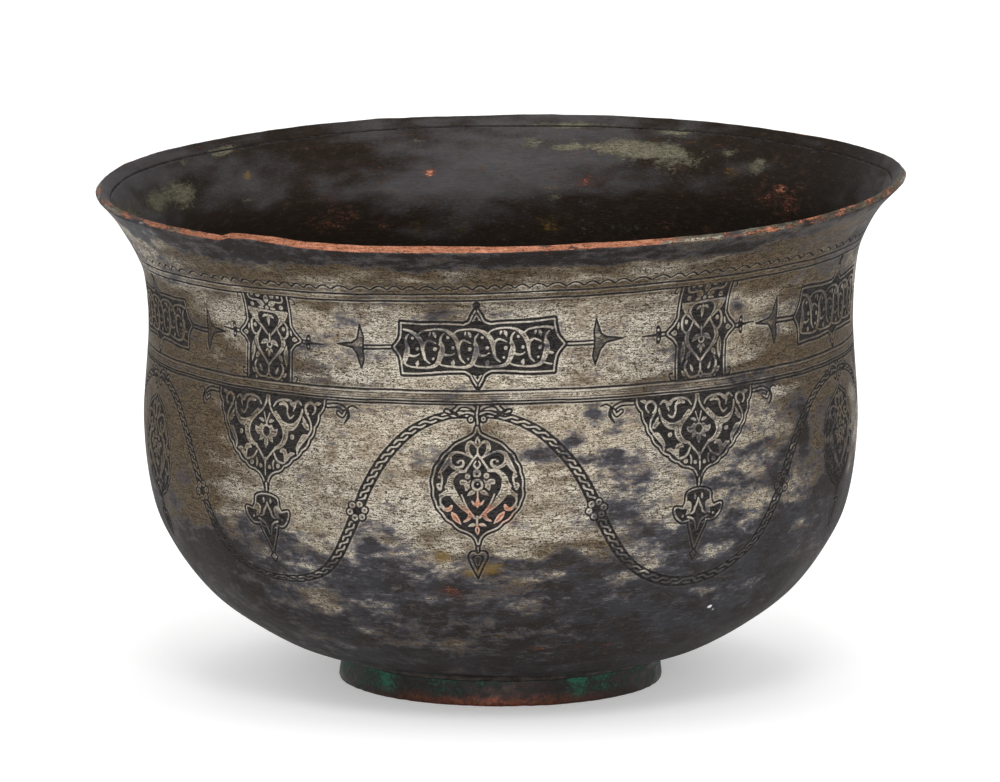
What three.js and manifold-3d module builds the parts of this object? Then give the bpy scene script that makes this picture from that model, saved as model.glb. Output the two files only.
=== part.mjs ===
import * as THREE from 'three';
import { mergeVertices } from 'three/addons/utils/BufferGeometryUtils.js';
import Module from 'manifold-3d';

// A raised copper bowl with a flared lip, tinned inside and out, on a low soldered foot ring.
// Millimetres, +Z up, origin at the centre of the foot's flat lower edge.
// The front of the bowl faces -Y, with +X to its right.

// Bowl shell
const RIM_RADIUS = 140;
const RIM_HEIGHT = 172.7;
const BELLY_RADIUS = 123.5;
const BELLY_HEIGHT = 91;
const WAIST_RADIUS = 121.7;
const WAIST_HEIGHT = 124;
const UNDERSIDE_HEIGHT = 6;
const WALL = 1.5;
const LIP_THICKNESS = 2.7;
const LIP_THICKENING_STARTS = 160;

// Lean of the hammered upper wall: the rim stands higher on the right than on the left
const LEAN_STARTS = 60;
const NECK_HEIGHT = 152;
const NECK_LEAN = 0.031;
const RIM_LEAN = 0.022;

// Foot ring, a strip bent into a hoop
const FOOT_TOP_RADIUS = 54.9;
const FOOT_BOTTOM_RADIUS = 55.9;
const FOOT_THICKNESS = 2.3;
const FOOT_EDGE_ROUNDING = 0.7;

// Joints between the pieces
const GAP = 0.3;
const FILLET_REACH = 2.1;
const FILLET_DROP = 1.5;
const SEAM_WIDTH = 1.1;
const SEAM_SLANT = THREE.MathUtils.degToRad(35);

// Facets
const ROUND_SEGMENTS = 80;
const PROFILE_STEPS = 25;

// Outer profile from the axis under the bowl, past the foot and the belly, to the lip
function outerProfile() {
  const points = [
    [0, UNDERSIDE_HEIGHT],
    [28, 7.2],
    [FOOT_TOP_RADIUS, 10.7],
    [71.4, 14.2],
    [87.9, 22.8],
    [102.6, 34],
    [114.1, 49.6],
    [120.7, 65.7],
    [BELLY_RADIUS, BELLY_HEIGHT],
    [WAIST_RADIUS, WAIST_HEIGHT],
    [122.9, 144],
    [126.2, 154.5],
    [132.4, 164.6],
    [RIM_RADIUS, RIM_HEIGHT],
  ];
  return new THREE.SplineCurve(points.map(([r, z]) => new THREE.Vector2(r, z)));
}

// Thickness of the wall at a height: even, and hammered thicker towards the lip
function wallAt(z) {
  const part = THREE.MathUtils.smoothstep(z, LIP_THICKENING_STARTS, RIM_HEIGHT);
  return THREE.MathUtils.lerp(WALL, LIP_THICKNESS, part);
}

// How far a point rises for each millimetre to the right, at its height
function leanAt(z) {
  const rise = THREE.MathUtils.clamp((z - LEAN_STARTS) / (NECK_HEIGHT - LEAN_STARTS), 0, 1);
  const lip = THREE.MathUtils.smoothstep(z, LIP_THICKENING_STARTS, RIM_HEIGHT);
  return NECK_LEAN * rise * rise + (RIM_LEAN - NECK_LEAN) * lip;
}

// A closed ring or solid of revolution about Z from a profile of (radius, height) points
function revolve(profile) {
  const geometry = new THREE.LatheGeometry([...profile, profile[0]], ROUND_SEGMENTS);
  geometry.rotateX(Math.PI / 2);
  return geometry;
}

function addLean(geometry) {
  const position = geometry.attributes.position;
  for (let i = 0; i < position.count; i += 1) {
    const z = position.getZ(i);
    position.setZ(i, z + leanAt(z) * position.getX(i));
  }
  return geometry;
}

// Outer and inner surfaces of the raised bowl, joined by the flat hammered edge of the lip
function bowlShell() {
  const curve = outerProfile();
  const outer = [];
  const inner = [];
  for (let i = 0; i <= PROFILE_STEPS; i += 1) {
    const along = i / PROFILE_STEPS;
    const point = curve.getPointAt(along);
    const way = curve.getTangentAt(along);
    const inwards = new THREE.Vector2(-way.y, way.x);
    outer.push(point);
    inner.push(point.clone().addScaledVector(inwards, wallAt(point.y)));
  }
  outer[0].x = 0;
  inner[0].x = 0;
  const profile = [...outer, ...inner.reverse()];
  const geometry = new THREE.LatheGeometry(profile, ROUND_SEGMENTS);
  geometry.rotateX(Math.PI / 2);
  return addLean(geometry);
}

// Height of the bowl's underside where it meets the foot
function undersideAt(radius) {
  const curve = outerProfile();
  let low = 0;
  let high = 0.5;
  for (let step = 0; step < 30; step += 1) {
    const middle = (low + high) / 2;
    if (curve.getPoint(middle).x < radius) {
      low = middle;
    } else {
      high = middle;
    }
  }
  return curve.getPoint(low).y;
}

// The hoop's section: its top follows the underside of the bowl, its lower edge is flat with round corners
function footProfile() {
  const innerTop = FOOT_TOP_RADIUS - FOOT_THICKNESS;
  const innerBottom = FOOT_BOTTOM_RADIUS - FOOT_THICKNESS;
  const soft = FOOT_EDGE_ROUNDING;
  const bevel = soft * (1 - Math.SQRT1_2);
  return [
    [innerTop, undersideAt(innerTop) - GAP],
    [innerBottom, soft],
    [innerBottom + bevel, bevel],
    [innerBottom + soft, 0],
    [FOOT_BOTTOM_RADIUS - soft, 0],
    [FOOT_BOTTOM_RADIUS - bevel, bevel],
    [FOOT_BOTTOM_RADIUS, soft],
    [FOOT_TOP_RADIUS, undersideAt(FOOT_TOP_RADIUS) - GAP],
  ].map(([r, z]) => new THREE.Vector2(r, z));
}

// A fillet of solder in the corner between the foot and the bowl, outside (side 1) or inside (side -1)
function solderFillet(side) {
  const face = side > 0 ? FOOT_TOP_RADIUS : FOOT_TOP_RADIUS - FOOT_THICKNESS;
  const near = face + side * GAP * 1.5;
  const far = near + side * FILLET_REACH;
  const corners = [
    [near, undersideAt(near) - GAP - FILLET_DROP],
    [far, undersideAt(far) - GAP * 1.4],
    [near, undersideAt(near) - GAP],
  ].map(([r, z]) => new THREE.Vector2(r, z));
  return revolve(side > 0 ? corners : corners.reverse());
}

function toSolid(wasm, geometry) {
  const bare = geometry.clone();
  bare.deleteAttribute('normal');
  bare.deleteAttribute('uv');
  const merged = mergeVertices(bare, 1e-4);
  return new wasm.Manifold(new wasm.Mesh({
    numProp: 3,
    vertProperties: new Float32Array(merged.attributes.position.array),
    triVerts: new Uint32Array(merged.index.array),
  }));
}

function toGeometry(solid) {
  const mesh = solid.getMesh();
  const geometry = new THREE.BufferGeometry();
  geometry.setAttribute('position', new THREE.BufferAttribute(new Float32Array(mesh.vertProperties), 3));
  geometry.setIndex(new THREE.BufferAttribute(new Uint32Array(mesh.triVerts), 1));
  geometry.computeVertexNormals();
  return geometry;
}

// A slanted slice across the hoop at the back of the bowl, where the strip's ends meet
function seamSlice(width, lift) {
  const depth = 5 * FOOT_THICKNESS;
  const slice = new THREE.BoxGeometry(width, depth, 30);
  slice.rotateZ(SEAM_SLANT);
  slice.translate(0, FOOT_BOTTOM_RADIUS - FOOT_THICKNESS / 2, 15 + lift);
  return slice;
}

function material(color, roughness, metalness) {
  return new THREE.MeshStandardMaterial({ color, roughness, metalness });
}

function piece(name, geometry, look) {
  const mesh = new THREE.Mesh(geometry, look);
  mesh.name = name;
  return mesh;
}

const wasm = await Module();
wasm.setup();

const hoop = toSolid(wasm, revolve(footProfile()));
const cutEnds = toSolid(wasm, seamSlice(SEAM_WIDTH + 2 * GAP, -GAP * 5));
const brazing = toSolid(wasm, seamSlice(SEAM_WIDTH, GAP));

const bowl = new THREE.Group();
bowl.add(piece('bowl_shell', bowlShell(), material(0x8a8272, 0.45, 0.85)));
bowl.add(piece('foot_ring', toGeometry(hoop.subtract(cutEnds)), material(0x5a4032, 0.5, 0.85)));
bowl.add(piece('foot_ring_seam', toGeometry(hoop.intersect(brazing)), material(0x8a7442, 0.5, 0.85)));
bowl.add(piece('foot_solder_outer', solderFillet(1), material(0x4a4a48, 0.6, 0.8)));
bowl.add(piece('foot_solder_inner', solderFillet(-1), material(0x5c5c5a, 0.6, 0.8)));

export default bowl;
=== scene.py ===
import math
import bpy
import numpy as np
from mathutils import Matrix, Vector


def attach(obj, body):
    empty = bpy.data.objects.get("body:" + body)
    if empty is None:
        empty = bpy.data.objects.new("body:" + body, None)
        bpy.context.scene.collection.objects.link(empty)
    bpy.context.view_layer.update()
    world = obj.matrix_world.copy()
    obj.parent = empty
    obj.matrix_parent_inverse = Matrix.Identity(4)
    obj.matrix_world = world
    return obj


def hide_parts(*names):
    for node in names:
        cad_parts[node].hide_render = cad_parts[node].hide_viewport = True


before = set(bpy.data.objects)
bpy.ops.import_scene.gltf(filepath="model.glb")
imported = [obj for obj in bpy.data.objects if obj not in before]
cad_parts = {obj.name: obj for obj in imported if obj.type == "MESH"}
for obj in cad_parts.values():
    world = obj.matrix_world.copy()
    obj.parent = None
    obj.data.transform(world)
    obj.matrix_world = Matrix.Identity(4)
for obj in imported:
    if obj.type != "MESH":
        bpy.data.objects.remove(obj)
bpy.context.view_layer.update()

# Sizes are in millimetres and angles in degrees unless a name says otherwise.
# An angle round the bowl is 0 at the front, which faces -Y, and grows to the right.
MM = 0.001
SEED = 7

# Driving dimensions of the bowl
RIM_RADIUS = 140
RIM_HEIGHT = 172.7
WALL = 1.5
LIP_THICKNESS = 2.6
LIP_THICKENING_STARTS = 160
LEAN_STARTS = 60
NECK_HEIGHT = 152
NECK_LEAN = 0.031
RIM_LEAN = 0.022
ORNAMENT_RADIUS = 123.0
OUTER_PROFILE = [
    (0, 6), (28, 7.2), (54.9, 10.7), (71.4, 14.2), (87.9, 22.8), (102.6, 34), (114.1, 49.6),
    (120.7, 65.7), (123.5, 91), (121.7, 124), (122.9, 144), (126.2, 154.5), (132.4, 164.6),
    (RIM_RADIUS, RIM_HEIGHT),
]

# Rise of the lip above its level, by angle: nicks and dents of the hammered rim
RIM_LIFT = [
    (-90, 0.9), (-70, 0.5), (-47, 0.3), (-43.2, 0.2), (-41.4, 1.5), (-38.5, 1.8), (-34, 1.5),
    (-29, 0.5), (-20, 0.2), (-10, 0.5), (12, 0.6), (25, 0.2), (35, -0.3), (50, -0.3), (60, 0.3),
    (75, 0.8), (90, 0.9), (100, -0.1), (112, -1.1), (130, -1.6), (150, -0.9), (165, -0.4), (180, -0.3),
    (205, 0.4), (224, 0.3), (250, 0.8), (270, 0.9),
]
# How much thicker the lip is beaten than its least thickness, by angle
LIP_SWELL = [
    (-180, 0), (-52, 0), (-38, 0.2), (-30, 0.6), (-12, 0.9), (0, 0.4), (14, 0.2), (26, 0.4), (42, 0.6),
    (60, 0.2), (80, 0), (120, 0.4), (160, 0), (180, 0),
]
# How far inside the lip its turned line runs
INNER_LINE = 4.9

# Where the engraver placed the ten motifs of each row
MEDALLION_ANGLES = [-74, -3.7, 71.1, 143.2, 213.8]
PENDANT_ANGLES = [-40.6, 33.3, 107.8, 178.5, 249.2]
CARTOUCHE_ANGLES = [-74, -3.7, 69.2, 143.2, 213.8]
UPRIGHT_ANGLES = [-40.2, 34.0, 107.8, 178.5, 249.2]
UPRIGHT_SLANTS = [-0.05, 0, 0.01, -0.01, 0.02]
ROPE_TOPS = [-74, -4.5, 71.1, 143.2, 213.8]
BAND_TOP = 121.1
BAND_BOTTOM = 116.4
UPPER_LINE = 153.7
LOWER_LINE = 151.3
WAVE_LINE = 156.0
CARTOUCHE_HEIGHT = 135.2
UPRIGHT_HEIGHT = 136.3
MEDALLION_HEIGHT = 89
DROP_HEIGHT = 83.4
# Lines round the wall: height, width, and depth as a part of a full cut
WALL_LINES = [
    (BAND_TOP - 0.3, 0.6, 1), (BAND_TOP - 1.5, 0.3, 0.75), (BAND_TOP - 2.2, 0.25, 0.6),
    (BAND_TOP - 2.9, 0.3, 0.7), (BAND_BOTTOM + 0.9, 0.55, 1), (BAND_BOTTOM, 0.6, 1),
    (UPPER_LINE, 0.6, 1), (LOWER_LINE, 0.6, 1),
]

# Depth of the graver's cut and of the standing burr beside it
CUT_DEPTH = 0.3
BURR_HEIGHT = 0.05


def smooth(low, high, value):
    """0 below low, 1 above high, and smooth between."""
    t = np.clip((np.asarray(value, float) - low) / (high - low), 0, 1)
    return t * t * (3 - 2 * t)


def curve(points, steps=10):
    """Points along a smooth curve through the given ones."""
    p = np.array(points, float)
    p = np.vstack([p[0], p, p[-1]])
    t = np.linspace(0, 1, steps, endpoint=False)[:, None]
    parts = []
    for a, b, c, d in zip(p[:-3], p[1:-2], p[2:-1], p[3:]):
        parts.append(0.5 * (2 * b + (c - a) * t + (2 * a - 5 * b + 4 * c - d) * t**2
                            + (3 * b - a - 3 * c + d) * t**3))
    return np.vstack(parts + [p[-1:]])


def wrapped(angle):
    return (np.asarray(angle) + 180) % 360 - 180


def around(table, angle):
    """Values of a table of angles and values, at any angles."""
    rows = np.array(table, float)
    return np.interp(angle, rows[:, 0], rows[:, 1])


# The drawing board: one flat panel for each engraved motif


class Panel:
    """A drawing in millimetres. Its ink is 1 where the metal is cut away and filled black.

    Its cover is 1 where anything is drawn, so that a motif hides what it is laid over.
    What is drawn without a value gets no ink: it is metal left standing.
    """

    DOTS = 10

    def __init__(self, half_width, low, high):
        self.left, self.low = -half_width, low
        self.scale, self.shift = 1, (0, 0)
        columns = int(2 * half_width * self.DOTS) + 1
        rows = int((high - low) * self.DOTS) + 1
        self.ink = np.zeros((rows, columns), np.float32)
        self.cover = np.zeros((rows, columns), np.float32)

    def window(self, points, margin):
        """The place in the panel of what is near some points, with the coordinates of its dots."""
        low = np.floor((points.min(0) - margin - (self.left, self.low)) * self.DOTS).astype(int)
        high = np.ceil((points.max(0) + margin - (self.left, self.low)) * self.DOTS).astype(int) + 1
        low = np.maximum(low, 0)
        high = np.maximum(np.minimum(high, self.ink.shape[::-1]), low)
        x = self.left + np.arange(low[0], high[0]) / self.DOTS
        y = self.low + np.arange(low[1], high[1]) / self.DOTS
        return (slice(low[1], high[1]), slice(low[0], high[0])), x[None, :], y[:, None]

    def paint(self, place, cover, value):
        self.ink[place] += (value - self.ink[place]) * cover
        self.cover[place] = np.maximum(self.cover[place], cover)

    def stroke(self, points, widths, value=0):
        """A line of round-nibbed strokes whose width may change along it."""
        p = np.array(points, float) * self.scale + self.shift
        w = np.interp(np.linspace(0, 1, len(p)), np.linspace(0, 1, np.size(widths)), np.atleast_1d(widths))
        place, x, y = self.window(p, w.max())
        if x.size * y.size == 0:
            return
        far = np.full((y.size, x.size), 1e3)
        for a, b, wa, wb in zip(p[:-1], p[1:], w[:-1], w[1:]):
            d = b - a
            t = np.clip(((x - a[0]) * d[0] + (y - a[1]) * d[1]) / max(d @ d, 1e-9), 0, 1)
            gap = np.hypot(x - a[0] - t * d[0], y - a[1] - t * d[1]) - (wa + (wb - wa) * t) / 2
            far = np.minimum(far, gap)
        self.paint(place, np.clip(0.5 - far * self.DOTS, 0, 1), value)

    def fill(self, outline, value=0):
        p = np.array(outline, float) * self.scale + self.shift
        place, x, y = self.window(p, 0.2)
        inside = np.zeros((y.size, x.size), bool)
        for a, b in zip(p, np.roll(p, -1, axis=0)):
            if a[1] == b[1]:
                continue
            spans = (a[1] > y) != (b[1] > y)
            inside ^= spans & (x < a[0] + (y - a[1]) * (b[0] - a[0]) / (b[1] - a[1]))
        self.paint(place, inside.astype(np.float32), value)

    def disc(self, x, y, radius, value=0):
        self.stroke([(x, y), (x, y + 0.01)], 2 * radius, value)

    def both(self, points, widths, value=0):
        """The same curved stroke on the right and, mirrored, on the left."""
        p = curve(points)
        self.stroke(p, widths, value)
        self.stroke(p * (-1, 1), widths, value)

    def both_fill(self, outline, value=0):
        p = np.array(outline, float)
        self.fill(p, value)
        self.fill(p * (-1, 1), value)

    def both_disc(self, x, y, radius, value=0):
        self.disc(x, y, radius, value)
        self.disc(-x, y, radius, value)

    def leaf(self, *shape):
        self.fill(leaf(*shape))

    def leaves(self, *shape):
        self.both_fill(leaf(*shape))

    def both_rounded(self, points):
        self.both_fill(rounded(points))

    def bordered(self, outline, light=0.6, dark=0.65):
        """A field of ink inside a standing line that has a cut line outside it."""
        closed = np.vstack([outline, outline[:1]])
        self.fill(outline, 1)
        self.stroke(closed, light + 2 * dark, 1)
        self.stroke(closed, light, 0)

    def stem(self, points, light=0.65, dark=0.6):
        """A standing line between two cut lines."""
        self.stroke(points, light + 2 * dark, 1)
        self.stroke(points, light, 0)

    def soften(self):
        """Spreads each dot over its neighbours, so that fine lines still show on the coarser wall."""
        for field in (self.ink, self.cover):
            for axis in (0, 1):
                field += np.roll(field, 1, axis) + np.roll(field, -1, axis)
                field /= 3

    def sample(self, field, x, y):
        """Ink or cover at points of the panel, 0 outside it."""
        rows, columns = field.shape
        cx = (x - self.left) * self.DOTS
        cy = (y - self.low) * self.DOTS
        inside = (cx > 0) & (cx < columns - 1) & (cy > 0) & (cy < rows - 1)
        cx, cy = np.clip(cx, 0, columns - 1.001), np.clip(cy, 0, rows - 1.001)
        i, j = cx.astype(int), cy.astype(int)
        fx, fy = cx - i, cy - j
        top = field[j + 1, i] * (1 - fx) + field[j + 1, i + 1] * fx
        low = field[j, i] * (1 - fx) + field[j, i + 1] * fx
        return np.where(inside, top * fy + low * (1 - fy), 0)


def lobed(cusps, bulge):
    """A scalloped outline: between two cusps the line swells out to the right of its run."""
    out = []
    for a, b in zip(cusps[:-1], cusps[1:]):
        a, b = np.array(a, float), np.array(b, float)
        side = np.array([a[1] - b[1], b[0] - a[0]]) / max(np.hypot(*(b - a)), 1e-6)
        for t in np.linspace(0, 1, 7)[:-1]:
            out.append(a + (b - a) * t + side * bulge * math.sin(math.pi * t))
    return np.array(out + [cusps[-1]])


def rounded(points):
    """A closed outline that runs smoothly through the given points."""
    p = np.array(points, float)
    n = len(p)
    return curve(np.vstack([p[-1:], p, p[:2]]), 6)[6:6 * (n + 1)]


def mirrored_outline(right):
    """A closed outline from its right half, which runs from the top to the bottom."""
    right = np.array(right, float)
    return np.vstack([right, (right * (-1, 1))[::-1]])


def circle(x, y, radius, start=0, end=360):
    a = np.radians(np.linspace(start, end, 24))
    return np.stack([x + radius * np.cos(a), y + radius * np.sin(a)], 1)


def leaf(tail, tip, width, bend=0.0):
    """A pointed leaf from tail to tip, bowed sideways."""
    tail, tip = np.array(tail, float), np.array(tip, float)
    way = tip - tail
    side = np.array([-way[1], way[0]]) / max(np.hypot(*way), 1e-6)
    t = np.linspace(0, 1, 9)
    middle = tail + way * t[:, None] + side * (bend * np.sin(math.pi * t))[:, None]
    swell = side * (width / 2 * np.sin(math.pi * t**0.8))[:, None]
    return np.vstack([middle + swell, (middle - swell)[::-1]])


def draw_medallion():
    """Round lobed medallion on a stem with two balls, and a spade-shaped finial below it."""
    p = Panel(27, -35, 29)
    stem = curve([(0.3, 27.5), (-0.1, 24), (0.2, 21), (0, 18.4)])
    hook = [(0.4, 25.2), (2.4, 26.6), (5.8, 27.2), (8.6, 25.0), (10.8, 25.2)]
    p.both(hook, 2.0, 1)
    p.both(hook, [0.8, 1.0, 0.7])
    p.both([(1.0, 24.0), (3.6, 24.6), (6.4, 23.8), (9.5, 25.4)], [1.6, 1.0], 0.9)
    p.both([(1.0, 24.0), (3.6, 24.7), (6.4, 24.0)], [0.7, 0.4])
    p.both_disc(2.2, 22.3, 1.5, 1)
    p.both_disc(2.2, 22.3, 0.85)
    p.both_disc(2.2, 22.3, 0.3, 1)
    p.stem(stem)
    # Stem and spade below
    p.stem([(0, -18.3), (-0.1, -22.6)], 0.7)
    spade = curve([(0.4, -22.4), (2.8, -22.8), (3.5, -25.0), (2.0, -28.4), (0, -32.4)])
    p.stroke(mirrored_outline(spade), 0.65, 1)
    inner = curve([(0.3, -23.9), (1.8, -24.2), (2.1, -25.4), (1.2, -27.6), (0, -29.8)])
    p.fill(mirrored_outline(inner), 0.75)
    p.both([(0.2, -24.6), (1.0, -25.2), (0.3, -27.8)], 0.4)
    # Lobed outline with its ogee peaks
    p.scale = 0.91
    peak = curve([(0.3, 21.4), (1.0, 19.4), (3.0, 18.2), (6.0, 17.0)], 6)
    foot = curve([(4.8, -16.8), (2.6, -18.0), (1.0, -19.8), (0.3, -22.0)], 6)
    cusps = [(6.0, 17.0), (10.9, 13.6), (13.9, 9.4), (15.8, 5.0), (16.3, -0.6), (15.6, -5.6),
             (13.0, -10.1), (9.5, -13.5), (4.8, -16.8)]
    p.bordered(mirrored_outline(np.vstack([peak, lobed(cusps, 0.55), foot])))
    # Crest of a leaf and two petals, and its stem that splits into the heart
    for y, x, width in ((3.9, 3.0, 1.3), (-0.4, 3.0, 1.1), (-3.0, 2.9, 1.2), (-7.6, 3.4, 1.2)):
        p.both_disc(13.4 + 0.2 * x, y, 0.45 * width)
    p.leaf((0, 14.8), (0, 18.6), 2.2)
    p.fill(leaf((0, 15.6), (0, 17.6), 0.7), 0.8)
    p.both([(0.3, 14.6), (1.8, 16.2), (3.5, 16.2), (4.1, 14.2), (3.2, 12.2), (1.9, 11.0)],
           [0.6, 1.0, 1.4, 1.6, 1.2, 0.7])
    p.stroke([(0, 15.0), (0, 12.0)], 0.7)
    p.both([(0, 12.2), (1.6, 10.2), (3.0, 8.2), (4.3, 6.4)], [0.8, 0.7, 0.8, 1.0])
    # Upper scrolls with their long outer leaves
    p.both([(1.9, 10.8), (4.4, 12.2), (7.4, 13.2), (10.0, 12.4), (10.5, 10.3), (9.7, 8.4), (7.6, 7.2),
            (5.5, 8.2), (5.5, 9.8), (6.8, 10.2)], [0.6, 0.7, 0.8, 1.4, 1.5, 1.3, 1.2, 1.1, 0.8, 0.5])
    p.both_disc(7.4, 9.5, 0.55)
    p.both_rounded([(9.8, 12.9), (11.8, 10.8), (13.2, 7.8), (14.6, 4.8), (12.4, 6.2), (10.4, 8.8),
                    (10.0, 10.6)])
    p.both([(10.6, 10.6), (12.0, 8.4), (13.2, 6.4)], 0.25, 0.75)
    p.both([(13.4, 5.0), (13.1, 2.4), (14.0, -0.8), (14.9, 0.8), (13.8, 1.4)],
           [0.8, 0.7, 0.9, 0.8, 0.4])
    # Heart of two thick split palmettes that hook outwards below
    p.both([(4.3, 6.0), (7.4, 5.9), (9.8, 3.6), (10.2, 0.6), (9.4, -2.0), (7.6, -4.9), (5.6, -7.6),
            (3.4, -9.8), (1.0, -12.0)], [0.9, 1.3, 2.0, 2.5, 2.8, 2.5, 1.6, 1.0, 0.8])
    p.both([(9.6, -1.8), (12.0, -2.0), (13.6, -3.4), (13.8, -6.0), (12.4, -8.3), (10.7, -8.3),
            (9.9, -6.9)], [2.4, 1.8, 1.2, 0.9, 1.3, 1.7, 0.9])
    p.both_disc(11.8, -5.1, 1.7, 1)
    p.both([(9.0, 3.6), (9.4, 0.4), (8.2, -2.6), (5.6, -5.8)], 0.25, 0.7)
    p.both([(8.6, -4.6), (7.2, -2.8)], [0.3, 0.2], 0.8)
    p.both([(11.2, 1.8), (12.0, 0.2), (11.4, -1.4)], [0.4, 0.8, 0.4])
    # Flower round a ringed eye
    p.both_rounded([(2.4, 2.8), (3.4, 2.0), (4.8, 2.9), (6.6, 2.6), (6.5, 1.0), (5.2, 0.8),
                    (4.6, -1.4), (3.4, -0.6), (2.3, 0.2)])
    p.both_disc(3.6, 4.0, 1.0)
    p.both([(3.2, 1.4), (5.6, 1.9)], 0.25, 0.9)
    p.disc(0, 4.9, 1.5)
    p.disc(0, 4.7, 0.45, 0.8)
    p.both([(0.3, 7.0), (1.2, 8.2), (0.5, 9.6)], [0.7, 0.8, 0.4])
    p.disc(0, 0.7, 2.65, 1)
    p.disc(0, 0.7, 2.15)
    p.disc(0, 0.7, 1.2, 1)
    p.disc(0.2, 1.0, 0.35)
    p.leaves((0.7, -1.7), (4.3, -3.2), 1.8, 0.3)
    p.stroke([(0, -1.6), (0, -4.4)], [0.6, 0.6])
    # Stems that cross in the lower half
    p.both([(0, -12.6), (2.6, -9.8), (4.6, -6.6), (6.2, -2.6)], [0.6, 0.7, 0.7, 0.5])
    p.leaf((0, -4.0), (0, -8.4), 1.7)
    p.leaves((0.5, -7.4), (2.6, -4.6), 1.1, -0.2)
    # Lower crescents, leaves and trefoil
    p.both([(4.4, -8.7), (2.8, -10.4), (3.4, -12.3), (5.2, -13.2)], [0.8, 1.6, 1.3, 0.6])
    p.leaves((10.0, -9.2), (5.9, -14.4), 2.2, 0.2)
    p.both([(8.8, -11.0), (7.0, -13.2)], 0.25, 0.7)
    p.stroke([(0, -11.4), (0, -15.0)], 0.8)
    p.leaves((0.3, -14.5), (3.9, -15.1), 1.4, 0.2)
    p.leaf((0, -14.8), (0, -18.6), 2.0)
    p.fill(leaf((0, -15.8), (0, -17.6), 0.7), 0.7)
    return p


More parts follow.
